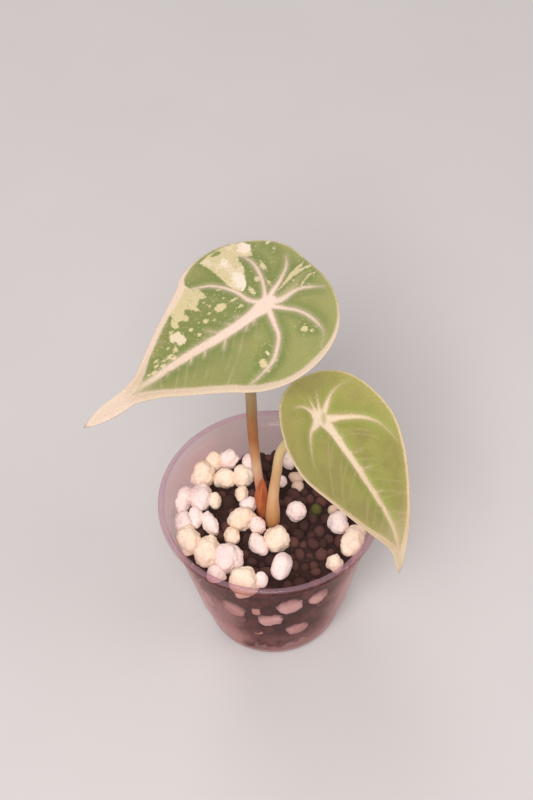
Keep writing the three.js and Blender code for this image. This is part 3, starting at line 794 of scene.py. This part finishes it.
LARGE_WHITE = [(-4.8, -21.8, 1.9, 2.2), (1.6, -11.8, 1.7, 3.6), (2.2, -20, 0.9, 1.3), (23.9, -6, 2.2, 2.2)]
LARGE_GREEN = [(2.7, -24.6, 1.3, 0.7)]
# The streak where the blade folds, which gets a painted grey sheen: u and v of its outline.
LARGE_FOLD = [
    (-1.9, -0.3), (-4.8, -1.5), (-8.5, -2.2), (-12.5, -3.4), (-15.5, -2.7), (-12.1, -0.4), (-10.4, 0.6),
    (-7.5, 1.2), (-3.8, 1.8),
]


def smooth_line(points, count):
    """Evenly spaced points on the centripetal curve through the given ones, by their first two numbers."""
    points = np.array(points, float)
    rows = np.vstack([2 * points[0] - points[1], points, 2 * points[-1] - points[-2]])
    line = []
    for a, b, c, d in zip(rows, rows[1:], rows[2:], rows[3:]):
        gaps = [np.hypot(*(second - first)[:2]) ** 0.5 for first, second in ((a, b), (b, c), (c, d))]
        t = np.cumsum([0, *gaps])
        for now in np.linspace(t[1], t[2], 16, endpoint=False):
            ab = (a * (t[1] - now) + b * (now - t[0])) / gaps[0]
            bc = (b * (t[2] - now) + c * (now - t[1])) / gaps[1]
            cd = (c * (t[3] - now) + d * (now - t[2])) / gaps[2]
            abc = (ab * (t[2] - now) + bc * (now - t[0])) / (t[2] - t[0])
            bcd = (bc * (t[3] - now) + cd * (now - t[1])) / (t[3] - t[1])
            line.append((abc * (t[2] - now) + bcd * (now - t[1])) / gaps[1])
    line = np.array([*line, points[-1]])
    run = np.cumsum([0, *np.hypot(*np.diff(line[:, :2], axis=0).T)])
    even = np.linspace(0, run[-1], count)
    return np.stack([np.interp(even, run, column) for column in line.T], axis=1)


def rib_reach(spots, ribs):
    """Distance of each spot outside the nearest rib's edge, negative inside it, and that rib's paleness."""
    reach = np.full(len(spots), 1e3)
    tone = np.zeros(len(spots))
    for rib in ribs:
        for u, v, width, pale in smooth_line(rib, 16 * len(rib)):
            gap = np.hypot(spots[:, 0] - u, spots[:, 1] - v) - width / 2
            nearer = gap < reach
            reach[nearer] = gap[nearer]
            tone[nearer] = pale
    return reach, tone


def patch_reach(spots, outline):
    """Distance of each spot outside a closed outline, negative inside it."""
    corners = np.array(outline, float)
    reach = np.full(len(spots), 1e3)
    inside = np.zeros(len(spots), bool)
    for first, second in zip(corners, np.roll(corners, -1, axis=0)):
        side = second - first
        share = np.clip((spots - first) @ side / (side @ side), 0, 1)
        reach = np.minimum(reach, np.hypot(*(spots - first - share[:, None] * side).T))
        crossed = (first[1] > spots[:, 1]) != (second[1] > spots[:, 1])
        level = first[0] + (spots[:, 1] - first[1]) * side[0] / (side[1] or 1e-9)
        inside ^= crossed & (spots[:, 0] < level)
    return np.where(inside, -reach, reach)


def spot_reach(spots, blots):
    """Distance of each spot outside the nearest of some oval blots, negative inside it."""
    reach = np.full(len(spots), 1e3)
    for u, v, half_u, half_v in blots:
        scaled = np.hypot((spots[:, 0] - u) / half_u, (spots[:, 1] - v) / half_v)
        reach = np.minimum(reach, (scaled - 1) * min(half_u, half_v))
    return reach


def spur_ribs(midrib, spurs, width=0.75, lean=0.75):
    """Short tapering ribs that leave the midrib at a slant towards the tip."""
    line = smooth_line(midrib, 200)
    ribs = []
    for start, side, length, pale in spurs:
        u, v = line[np.argmin(abs(line[:, 0] - start))][:2]
        taper = ((0.2, width * 2.2), (0.25, width * 1.3), (0.55, width * 0.7), (0.9, 0.14))
        ribs.append([(u + lean * length * out, v + side * length * out, size, pale) for out, size in taper])
    return ribs


def side_threads(midrib, seed, width=0.3):
    """Fine side veins that leave the midrib every few millimetres and sweep towards the tip."""
    line = smooth_line(midrib, 200)
    draw = np.random.default_rng(seed)
    threads = []
    for start in np.arange(4, line[-1, 0] * 0.8, 3.4):
        for side in (-1, 1):
            u, v = line[np.argmin(abs(line[:, 0] - start - draw.uniform(-1.3, 1.3)))][:2]
            lean = draw.uniform(0.15, 0.6)
            sweep = draw.uniform(0.015, 0.045)
            steps = np.linspace(0.5, draw.uniform(5, 19), 7)
            threads.append([(u + lean * out + sweep * out * out, v + side * out, width, 1) for out in steps])
    return threads


def blade_frame(blade):
    heading, drop, roll = (math.radians(blade[key]) for key in ("heading", "drop", "roll"))
    ahead = np.array([math.cos(heading), math.sin(heading), 0])
    along = ahead * math.cos(drop) - np.array([0, 0, math.sin(drop)])
    level = np.array([-math.sin(heading), math.cos(heading), 0])
    across = level * math.cos(roll) + np.cross(along, level) * math.sin(roll)
    return along, across, np.cross(along, across)


def blade_height(blade, u, v):
    """How far the blade's face stands over its flat frame: arched, bent, twisted and hooked at the tip."""
    bend = np.where(u > 0, blade["front_bend"], blade["back_bend"])
    hooked = np.maximum(u - blade["hook_start"], 0)
    arched = -(blade["arch"] * v * v + bend * u * u) / 2
    return arched + blade["twist"] * u * v - blade["hook"] * hooked * hooked


def waves(u, v, seed):
    """Gentle unevenness of a grown surface, between 0 and 1."""
    draw = np.random.default_rng(seed)
    total = 0
    for length in WAVE_LENGTHS:
        turn, shift = draw.uniform(0, 2 * math.pi, 2)
        total = total + np.sin((u * math.cos(turn) + v * math.sin(turn)) * 2 * math.pi / length + shift)
    return 0.5 + total / 8


def grown_blade(name, blade, margin, ribs, marks, finishes, seed):
    """A blade of two close faces joined round the margin. Each mark is an attribute of the face's spots."""
    edge = smooth_line(margin, BLADE_STEPS + 1)[:-1]
    edge[:, :2] *= BLADE_TRIM
    shares = np.linspace(0, 1, BLADE_RINGS + 1)[1:] ** RING_CROWDING
    spots = np.vstack([[(0, 0)], *(edge[:, :2] * share for share in shares)])
    u, v = spots.T
    reach, tone = rib_reach(spots, ribs)
    from_edge = np.full(len(spots), 1e3)
    band = np.zeros(len(spots))
    for edge_u, edge_v, width in edge[::2]:
        gap = np.hypot(u - edge_u, v - edge_v)
        nearer = gap < from_edge
        from_edge[nearer] = gap[nearer]
        band[nearer] = width
    quilt = QUILT_DEPTH * np.exp(-np.maximum(reach, 0) / QUILT_REACH) * tone
    sunk = quilt + WAVE_DEPTH * waves(u, v, seed)
    thick = EDGE_THICKNESS + (BODY_THICKNESS - EDGE_THICKNESS) * (1 - np.exp(-from_edge / EDGE_TAPER))
    keel = KEEL_DEPTH * tone * np.exp(-((np.maximum(reach + KEEL_INSET, 0) / KEEL_REACH) ** 2))
    keel = keel * np.minimum(from_edge / KEEL_FADE, 1)
    face = blade_height(blade, u, v) - sunk
    along, across, normal = blade_frame(blade)
    flat = np.array(blade["joint"]) + u[:, None] * along + v[:, None] * across
    rim = spots[-BLADE_STEPS:]
    rim_out = rim / np.linalg.norm(rim, axis=1)[:, None] * EDGE_ROUNDING
    middle = (face - EDGE_THICKNESS / 2)[-BLADE_STEPS:]
    rim_places = flat[-BLADE_STEPS:] + middle[:, None] * normal
    rim_places = rim_places + rim_out[:, :1] * along + rim_out[:, 1:] * across
    upper = flat + face[:, None] * normal
    lower = flat + (face - thick - keel)[:, None] * normal
    under = len(spots)
    brim = 2 * under
    faces = []
    sides = []
    last = 1 + (BLADE_RINGS - 1) * BLADE_STEPS
    for i in range(BLADE_STEPS):
        j = (i + 1) % BLADE_STEPS
        faces += [(0, 1 + i, 1 + j), (under, under + 1 + j, under + 1 + i)]
        sides += [0, 1]
        for ring in range(BLADE_RINGS - 1):
            a = 1 + ring * BLADE_STEPS + i
            b = 1 + ring * BLADE_STEPS + j
            faces += [(a, a + BLADE_STEPS, b + BLADE_STEPS, b)]
            faces += [(under + b, under + b + BLADE_STEPS, under + a + BLADE_STEPS, under + a)]
            sides += [0, 1]
        faces += [(last + i, brim + i, brim + j, last + j)]
        faces += [(brim + i, under + last + i, under + last + j, brim + j)]
        sides += [0, 1]
    piece = placed(name, np.vstack([upper, lower, rim_places]), faces, finishes, sides)
    spread = np.concatenate([np.arange(under), np.arange(under), np.arange(last, under)])
    thread = rib_reach(spots, side_threads(ribs[0], seed))[0]
    values = {
        "rib": reach,
        "rib_tone": tone,
        "band": from_edge - band,
        "from_edge": from_edge,
        "thread": thread,
        **{mark: measure(spots) for mark, measure in marks.items()},
    }
    for mark, value in values.items():
        layer = piece.data.attributes.new(mark, "FLOAT", "POINT")
        layer.data.foreach_set("value", value[spread].astype(np.float32))
    layer = piece.data.attributes.new("spot", "FLOAT_VECTOR", "POINT")
    layer.data.foreach_set("vector", np.c_[spots, np.zeros(under)][spread].astype(np.float32).ravel())
    return piece


class BladeFinish(Finish):
    """A blade's upper face, with the marks that its mesh keeps and the noises that its colours share."""

    def __init__(self, name):
        sheen = {"Sheen Weight": 0.1, "Sheen Roughness": 0.5, "Sheen Tint": paint(236, 226, 214)}
        super().__init__(name, sheen)
        self.spot = self.mark("spot", "Vector")
        self.along, self.across = self.parts(self.spot)[:2]
        self.rib = self.mark("rib")
        self.tone = self.mark("rib_tone")
        self.band = self.mark("band")
        self.from_edge = self.mark("from_edge")
        self.cloud = self.grain(self.spot, 0.1, 4, 0.6)
        self.drift = self.grain(self.spot, 0.22, 3, 0.6)
        self.fleck = self.grain(self.spot, 2.6, 3, 0.7)
        self.jag = (self.grain(self.spot, 0.9, 4, 0.65) - 0.5) * 1.5
        self.fray = (self.grain(self.spot, 2.4, 3, 0.65) - 0.5) * 1.3
        self.vein = self.step(self.rib + self.fray * 0.7 + self.jag * 0.45, 0.32, -0.3) * self.tone
        self.thread = self.step(self.mark("thread") + self.fray * 0.3, 0.5, -0.2)
        self.thread = self.thread * self.step(self.cloud, 0.3, 0.6)

    def field(self, greens, pale, lit_side, tip_start):
        """Green, lighter towards the back, the margin and the tip, with painted light on the lit side, and
        deep by the ribs.
        """
        middle, olive, deep, light = greens
        back = self.step(self.along + self.jag * 3, 20, -4)
        # Painted light: lighter towards the lit side.
        side = self.step(self.across * lit_side + self.jag * 3, -6, 8)
        by_rib = self.step(self.rib + self.jag * 2, 4.5, 0.4) * self.tone
        tip = self.step(self.along + self.jag, tip_start - 8, tip_start + 4)
        return self.coated(
            middle,
            (self.step(self.cloud, 0.4, 0.6), olive),
            (back * 0.5 + side * 0.32, light),
            (self.step(self.drift, 0.5, 0.7) * 0.45, olive),
            (by_rib * 0.75, deep),
            (self.step(self.from_edge + self.jag, 4, 0.2) * 0.6, light),
            (self.thread * 0.18, pale),
            (tip * 0.5, pale),
        )

    def variegated(self, colour, deep, light, cream):
        """Cream patches and specks over the green, chalky in places, with a painted grey sheen on the folded
        streak.
        """
        yellow, white, painted_fold_sheen = cream
        reach = self.mark("cream")
        white_reach = self.mark("white")
        colour = self.coated(
            colour,
            # Painted sheen along the fold.
            (self.step(self.mark("fold") + self.jag * 1.2, 1, -1) * 0.65, painted_fold_sheen),
            (self.step(reach + self.jag, 2.6, 0.2) * 0.6, deep),
        )
        chalk = self.step(white_reach + self.jag * 3 + self.fray * 1.5, 0.6, -0.5)
        chalk = chalk * (1 - self.step(self.along, 12, 20) * 0.55)
        islands = self.step(self.grain(self.spot, 0.8, 4, 0.7), 0.56, 0.66) * self.step(white_reach, 0, 1)
        drifts = self.step(self.drift, 0.5, 0.62) * self.step(self.along, 12, 8)
        flecks = self.step(self.fleck, 0.5, 0.72)
        whites = ((chalk, white), (islands * 0.55, light), (drifts * 0.4, white), (flecks * 0.3, white))
        patch = self.step(reach + self.jag * 0.8 + self.fray, 0.2, -0.2)
        specks = self.step(self.grain(self.spot, 1.15, 2, 0.6), 0.64, 0.68)
        specks = specks * self.step(reach + self.jag * 2, 4, 1)
        return self.blend(patch.math("MAXIMUM", patch, specks * 0.8), colour, self.coated(yellow, *whites))

    def edged(self, colour, pales, glow, tip):
        """The pale band round the margin, brighter where it glows and into the tip, and the tip's apex."""
        dull, pale, bright = pales
        tip_start, apex_start, apex = tip
        skirt = self.coated(
            pale,
            (self.step(self.from_edge, 0.2, 1.6), dull),
            (glow, bright),
            (self.step(self.along, tip_start, tip_start + 6) * 0.6, bright),
            (self.step(self.along + self.fray, apex_start, apex_start + 2) * 0.75, apex),
        )
        band = self.step(self.band + self.fray * 0.8 + self.jag * 0.5, 0.45, -0.45)
        return self.blend(band * 0.92, colour, skirt)

    def ribbed(self, colour, pales):
        """Pale ribs in a soft halo, duller at their edges and towards the tip."""
        dull, pale, bright = pales
        halo = self.step(self.rib + self.fray * 0.8 + self.jag * 0.6, 1.5, 0) * self.tone
        flesh = self.coated(
            dull,
            (self.step(self.rib + self.fray * 0.4, 0.1, -0.8), bright),
            (self.step(self.along, 6, 30) * 0.6, pale),
        )
        return self.coated(colour, (halo * 0.28, pale), (self.vein, flesh))


def leaf_face(name, greens, pales, lit_side, tip, cream=None, dimple=None):
    """The upper face: mottled green, with soft pale ribs and margin.

    Lit side is the side, 1 or -1, that painted light makes lighter. Tip is where along the blade the pale
    tip starts, where its apex starts and the apex's colour.
    """
    face = BladeFinish(name)
    colour = face.field(greens, pales[1], lit_side, tip[0])
    glow = face.step(face.band + face.jag * 0.5, -0.9, -0.2) * 0.3
    if cream:
        colour = face.variegated(colour, greens[2], greens[3], cream)
        glow = glow + face.step(face.across * -lit_side, 2, 9) * 0.6
    colour = face.ribbed(face.edged(colour, pales, glow, tip), pales)
    if dimple:
        hollow = face.step(face.mark("dimple") + face.fray * 0.3, 0.7, -0.7)
        colour = face.blend(hollow * 0.8, colour, dimple)
    shade = face.blend(face.step(face.fleck, 0.25, 0.75), paint(222, 222, 216), paint(255, 255, 255))
    colour = face.blend(1, colour, shade, "MULTIPLY")
    velvet = face.grain(face.spot, 9, 2) * 0.5 + face.grain(face.spot, 1.1, 3) * 0.8
    bump = face.bump(velvet - face.vein * 0.3 - face.thread * 0.2, 0.16, 0.6)
    return face.show(colour, Roughness=0.6 - face.vein * 0.08, Normal=bump)


def leaf_back(name, green, pale):
    """The underside: paler and duller, with its ribs standing out in pink."""
    finish = Finish(name, {"Sheen Weight": 0.12, "Roughness": 0.6})
    spot = finish.mark("spot", "Vector")
    vein = finish.step(finish.mark("rib"), 0.5, -0.3) * finish.mark("rib_tone")
    margin = finish.step(finish.mark("band"), 0.4, -0.4)
    coats = [(share, pale) for share in (finish.grain(spot, 0.2, 3) * 0.5, margin * 0.6, vein * 0.8)]
    bump = finish.bump(finish.grain(spot, 3, 3), 0.12, 0.5)
    return finish.show(finish.coated(green, *coats), Normal=bump)


def cream_reach(spots):
    """Distance of each spot outside the cream patches and spots. A green islet is cut out of them."""
    patches = [patch_reach(spots, outline) for outline in LARGE_CREAM]
    cream = np.minimum.reduce([*patches, spot_reach(spots, LARGE_SPOTS)])
    return np.maximum(cream, -spot_reach(spots, LARGE_GREEN))


large_face = leaf_face(
    "leaf_variegated",
    (paint(136, 142, 76), paint(149, 146, 84), paint(120, 134, 62), paint(166, 165, 98)),
    (paint(222, 194, 168), paint(236, 209, 184), paint(252, 223, 206)),
    1,
    (40, 55.5, paint(186, 128, 104)),
    # Cream, white, and the painted grey sheen of the folded streak.
    (paint(224, 205, 156), paint(255, 234, 213), paint(190, 176, 132)),
)
large_back = leaf_back("leaf_variegated_back", paint(160, 160, 112), paint(214, 184, 168))
large_blade = grown_blade(
    "large_blade",
    LARGE_BLADE,
    LARGE_MARGIN,
    LARGE_RIBS + spur_ribs(LARGE_RIBS[0], LARGE_SPURS),
    {
        "cream": cream_reach,
        "white": lambda spots: spot_reach(spots, LARGE_WHITE),
        "fold": lambda spots: patch_reach(spots, LARGE_FOLD),
    },
    [large_face, large_back],
    3,
)
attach(large_blade, "root")
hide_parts("blade_large")

# Small blade
# The younger blade, cupped and hooked down at its tip, yellower and plain green between softer ribs, with a
# peach margin on its lower sides and a dimple where the stalk joins behind.
SMALL_BLADE = {
    "joint": (14.6, -9.4, 105),
    "heading": -46,
    "drop": 32,
    "roll": -15,
    "arch": -0.015,
    "front_bend": 0.005,
    "back_bend": -0.004,
    "twist": 0,
    "hook_start": 33,
    "hook": 0.028,
}
SMALL_MARGIN = [
    (46.7, -3, 3.5), (45.5, -1, 3.5), (42.5, 1.5, 2.4), (35.5, 7, 1.1), (28.5, 12.2, 0.9), (20.5, 17, 0.8),
    (11.5, 19.7, 0.6), (2.5, 19, 0.45), (-4.5, 16.4, 0.4), (-9, 11.5, 0.3), (-11.5, 5, 0.25),
    (-12.3, -2.5, 0.25), (-10.2, -9, 0.3), (-5, -14.8, 0.45), (1.5, -19, 0.6), (8.7, -20.3, 0.8),
    (17.5, -17, 1), (32, -10, 1.4), (38.5, -6, 1.9), (41.5, -4.6, 2.6), (44, -4.4, 3.5), (46.7, -3, 3.5),
]
SMALL_RIBS = [
    [(-1.2, -0.3, 4, 1), (0.8, 0.3, 4.2, 1), (4.4, 0.6, 2.9, 1), (9.5, 0.4, 2.4, 1), (15.5, 0.3, 2.2, 1),
     (21.8, 0, 1.9, 1), (26.7, -0.1, 1.7, 1), (32, -0.4, 1.5, 0.9), (39, -1.5, 1.4, 0.7),
     (46, -2.8, 1.2, 0.3)],
    [(0, 1, 3, 1), (1.4, 2.3, 2.6, 1), (3.1, 5.6, 1.7, 1), (5.5, 9.6, 1.3, 0.95), (8, 12.5, 0.9, 0.8),
     (11, 14.5, 0.6, 0.5), (14.5, 15.5, 0.5, 0.35), (18.1, 15.9, 0.4, 0.2)],
    [(-0.3, 0.8, 2.8, 1), (-0.7, 2.2, 2.1, 1), (-2.3, 5.6, 1.3, 0.9), (-3.5, 8.6, 0.7, 0.6),
     (-3.7, 11.8, 0.5, 0.35), (-3.1, 15.3, 0.3, 0.15)],
    [(-0.6, 0.8, 2.4, 1), (-1.6, 1.4, 1.7, 1), (-3.8, 2.7, 0.7, 0.7), (-6.6, 4.4, 0.3, 0.15)],
    [(-0.8, 0, 2.8, 1), (-1.7, 0.1, 2.1, 1), (-4.6, 0.6, 0.7, 0.65), (-7, 1.1, 0.3, 0.12)],
    [(-0.8, -0.4, 3, 1), (-1.9, -0.7, 2, 1), (-4.2, -1.5, 1.1, 0.9), (-5.9, -3.1, 0.6, 0.65),
     (-6.9, -5.6, 0.4, 0.35)],
    [(-0.3, -1, 3.2, 1), (0.4, -2.9, 2.1, 1), (1, -5.7, 1.1, 0.9), (2.8, -8.4, 0.8, 0.7),
     (5.7, -11.5, 0.5, 0.4), (9.1, -13.8, 0.3, 0.2)],
]
SMALL_DIMPLE = [(-1.1, 2.4), (-0.5, 1), (0.5, -0.1), (1.8, -0.6), (1.5, 1), (0.4, 2.2)]
SMALL_SPURS = [
    (5, -1, 1.9, 0.6), (7, 1, 2.4, 0.5), (10, -1, 1.5, 0.7), (12.4, 1, 4.6, 0.3), (16.5, -1, 1.9, 0.5),
    (17.2, 1, 4.6, 0.55), (21.5, -1, 1.5, 0.5), (24.8, 1, 3.2, 0.55), (29, -1, 1.5, 0.5), (30, 1, 2, 0.3),
]
small_face = leaf_face(
    "leaf_yellow_green",
    (paint(164, 160, 80), paint(154, 143, 76), paint(152, 162, 68), paint(184, 173, 98)),
    (paint(232, 202, 162), paint(234, 204, 166), paint(255, 231, 200)),
    -1,
    (37, 45, paint(196, 134, 84)),
    dimple=paint(200, 188, 138),
)
small_back = leaf_back("leaf_yellow_green_back", paint(170, 168, 112), paint(216, 190, 158))
small_blade = grown_blade(
    "small_blade",
    SMALL_BLADE,
    SMALL_MARGIN,
    SMALL_RIBS + spur_ribs(SMALL_RIBS[0], SMALL_SPURS, 0.6, 0.35),
    {"dimple": lambda spots: patch_reach(spots, SMALL_DIMPLE)},
    [small_face, small_back],
    8,
)
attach(small_blade, "root")
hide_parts("blade_small")

# Stalks
# Each blade's own fleshy stalk, grown from the corm through the granules and widening where it meets the
# blade from behind. The older one goes from a pinkish foot through orange to olive, and the younger from tan
# to a pale yellow green.
STALK_RINGS = 220
STALK_SIDES = 28
STALK_GRAIN = 0.35
STALK_GRAIN_DEPTH = 0.16

climb = Recipe("stalk_on_a_path", {"Rings": "Int", "Sides": "Int", "Finish": "Material"})
path = climb.node("GeometryNodeMeshToCurve", {}, {"Mesh": climb.input("Geometry")})
bent = climb.node("GeometryNodeCurveSplineType", {"spline_type": "CATMULL_ROM"}, {"Curve": path})
evened = climb.node("GeometryNodeResampleCurve", {}, {"Curve": bent, "Count": climb.input("Rings")})
ring = {"Resolution": climb.input("Sides"), "Radius": 1}
section = climb.node("GeometryNodeCurvePrimitiveCircle", {}, ring)
girth = climb.node("GeometryNodeInputNamedAttribute", {}, {"Name": "girth"})
sweep = {"Curve": evened, "Profile Curve": section, "Scale": girth, "Fill Caps": True}
skin = climb.node("GeometryNodeCurveToMesh", {}, sweep)
climb.end(climb.roughened(skin, STALK_GRAIN, STALK_GRAIN_DEPTH))


def stalk_skin(name, stops):
    """Colour by height, with lengthwise streaks. Each stop is a height and a screen colour."""
    flesh = {"Specular IOR Level": 0.45, "Subsurface Weight": 0.08, "Subsurface Scale": 0.4 * MM}
    finish = Finish(name, flesh)
    place = finish.place()
    streak = finish.grain(place, 0.9, 3, 0.6, (1, 1, 0.06))
    low = stops[0][0]
    high = stops[-1][0]
    run = (finish.parts(place)[2] + (streak - 0.5) * 6 - low) * (1 / (high - low))
    ramp = [((height - low) / (high - low), paint(*colour)) for height, *colour in stops]
    colour = finish.coated(
        finish.node("ShaderNodeValToRGB", {"stops": ramp}, {"Fac": run}, output="Color"),
        (finish.step(streak, 0.55, 0.8) * 0.25, paint(232, 200, 168)),
        (finish.step(streak, 0.45, 0.2) * 0.25, paint(120, 84, 52)),
    )
    bump = finish.bump(streak + finish.grain(place, 3, 2) * 0.3, 0.15, 0.5)
    return finish.show(colour, Roughness=0.42 + streak * 0.15, Normal=bump)


def stalk(name, node, points, blade, tops, finish):
    """A stalk through points of x, y, height and radius, then the given depths and radii under the blade."""
    normal = blade_frame(blade)[2]
    under = [(*(np.array(blade["joint"]) - depth * normal), radius) for depth, radius in tops]
    line = np.array([*points, *under])
    steps = [(i, i + 1) for i in range(len(line) - 1)]
    mesh = bpy.data.meshes.new(name)
    mesh.from_pydata([tuple(place) for place in line[:, :3] * MM], steps, [])
    layer = mesh.attributes.new("girth", "FLOAT", "POINT")
    layer.data.foreach_set("value", (line[:, 3] * MM).astype(np.float32))
    piece = stand(name, mesh)
    piece.data = climb.make(piece, {"Rings": STALK_RINGS, "Sides": STALK_SIDES, "Finish": finish})
    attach(piece, "root")
    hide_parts(node)
    return line


large_line = stalk(
    "large_stalk",
    "stalk_large",
    [
        (-2.2, 3.6, 41, 1.5), (-2.5, 4, 50, 1.4), (-3.2, 4.4, 60, 1.35), (-4.1, 5, 75, 1.48),
        (-4.3, 5.7, 91, 1.55), (-3.6, 6.8, 108, 1.55),
    ],
    LARGE_BLADE,
    [(6, 1.6), (2.6, 1.75), (0.9, 2.4)],
    stalk_skin(
        "stalk_olive",
        [
            (42, 204, 134, 100), (58, 200, 132, 98), (66, 222, 180, 146), (72, 196, 142, 98),
            (79, 160, 97, 48), (88, 154, 108, 62), (98, 162, 138, 98), (126, 160, 146, 100),
        ],
    ),
)
stalk(
    "small_stalk",
    "stalk_small",
    [(0.4, 0.2, 41, 2.2), (0.6, 0.2, 48, 2.15), (0.9, 0.4, 56, 1.65), (2, 0, 67, 1.45), (4, -2.4, 83, 1.4)],
    SMALL_BLADE,
    [(6, 1.45), (2.4, 1.6), (0.8, 2.2)],
    stalk_skin(
        "stalk_tan",
        [
            (42, 188, 128, 76), (50, 204, 152, 102), (58, 228, 180, 134), (67, 216, 170, 120),
            (80, 226, 198, 142), (100, 190, 176, 120),
        ],
    ),
)

# Sheath
# The dry, rust-brown leaf sheath left round the older stalk's foot: one papery strip, open behind and torn to
# a point at the top, with its fibres running up it.
SHEATH_FOOT = 42.8
SHEATH_TIP = 60.6
SHEATH_RADIUS = 1.8
SHEATH_PAPER = 0.3
SHEATH_FACING = math.radians(-52)
SHEATH_WRAP = math.radians(250)
SHEATH_ROWS = 60
SHEATH_COLUMNS = 30
RUFFLE_SEED = 6
# How much of the strip's width is gone at the tip, how ragged its edges are, and the least half turn left.
TIP_NARROWING = 0.88
RAGGED = 0.5
TIP_HALF = 0.04
BROAD_CURL = 0.16
FINE_CURL = 0.06
FLARED_EDGE = 0.1

ruffle = np.random.default_rng(RUFFLE_SEED).uniform(0, 2 * math.pi, 4)
sheath_places = []
for row in range(SHEATH_ROWS + 1):
    up = row / SHEATH_ROWS
    height = SHEATH_FOOT + up * (SHEATH_TIP - SHEATH_FOOT)
    centre = [np.interp(height, large_line[:, 2], large_line[:, k]) for k in range(2)]
    tear = 0.12 * math.sin(9 * up + ruffle[0]) + 0.06 * math.sin(31 * up + ruffle[1])
    half = SHEATH_WRAP / 2 * max(1 - TIP_NARROWING * up ** 3 + tear * up * RAGGED, TIP_HALF)
    for column in range(SHEATH_COLUMNS + 1):
        across = 2 * column / SHEATH_COLUMNS - 1
        angle = SHEATH_FACING + half * across
        broad = BROAD_CURL * math.sin(5 * across + 6 * up + ruffle[2])
        fine = FINE_CURL * math.sin(13 * across + 3 * up + ruffle[3])
        flare = FLARED_EDGE * abs(across) ** 3 * math.sin(17 * up)
        radius = SHEATH_RADIUS + broad + fine + flare
        out = radius * math.cos(angle), radius * math.sin(angle)
        sheath_places.append((centre[0] + out[0], centre[1] + out[1], height))
sheath_faces = []
for row in range(SHEATH_ROWS):
    for column in range(SHEATH_COLUMNS):
        low = row * (SHEATH_COLUMNS + 1) + column
        high = low + SHEATH_COLUMNS + 1
        sheath_faces.append((low, low + 1, high + 1, high))
rust = Finish("sheath_rust", {"Specular IOR Level": 0.3})
rust_place = rust.place()
fibre = rust.grain(rust_place, 1.6, 4, 0.6, (1, 1, 0.08))
blotch = rust.grain(rust_place, 0.25, 2)
rust_colour = rust.coated(
    paint(164, 82, 46),
    (rust.step(fibre, 0.3, 0.75), paint(214, 128, 82)),
    (rust.step(blotch, 0.5, 0.75) * 0.5, paint(132, 64, 38)),
)
rust_skin = rust.show(rust_colour, Roughness=0.6 + fibre * 0.25, Normal=rust.bump(fibre, 0.2, 0.8))
sheath = placed("torn_sheath", sheath_places, sheath_faces, [rust_skin])
paper = sheath.modifiers.new("paper", "SOLIDIFY")
paper.thickness = SHEATH_PAPER * MM
paper.offset = 0
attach(sheath, "root")
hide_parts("sheath")

# Studio
# A plain pale floor under one large soft lamp above and in front, with a weaker one at the right and one
# behind, and an even pale light all round.
FLOOR_REACH = 2000
LAMP_AIM = (0, 0, 0.08)
SKY_STRENGTH = 0.4

floor_finish = Finish("pale_floor", {"Roughness": 0.9})
dust = floor_finish.grain(floor_finish.place(), 0.02, 3)
dusty = floor_finish.blend(dust, paint(206, 200, 198), paint(212, 206, 204))
corners = [(x * FLOOR_REACH, y * FLOOR_REACH, 0) for x, y in ((-1, -1), (1, -1), (1, 1), (-1, 1))]
floor = placed("floor", corners, [(0, 1, 2, 3)], [floor_finish.show(dusty)])

# Each lamp's name, its place and width in metres, and its power in watts.
LAMPS = [
    ("key_lamp", (-0.12, -0.62, 0.9), 0.5, 9.2),
    ("side_lamp", (0.8, -0.3, 0.6), 0.6, 1.6),
    ("back_lamp", (-0.3, 0.8, 0.6), 0.6, 2.0),
]
for name, place, size, power in LAMPS:
    lamp = bpy.data.lights.new(name, "AREA")
    lamp.shape = "DISK"
    lamp.size = size
    lamp.energy = power
    holder = stand(name, lamp)
    holder.location = place
    holder.rotation_euler = (Vector(LAMP_AIM) - Vector(place)).to_track_quat("-Z", "Y").to_euler()
sky = bpy.data.worlds.new("studio")
sky.use_nodes = True
sky.node_tree.nodes["Background"].inputs["Color"].default_value = paint(244, 238, 238)
sky.node_tree.nodes["Background"].inputs["Strength"].default_value = SKY_STRENGTH
bpy.context.scene.world = sky
bpy.context.scene.view_settings.view_transform = "Standard"
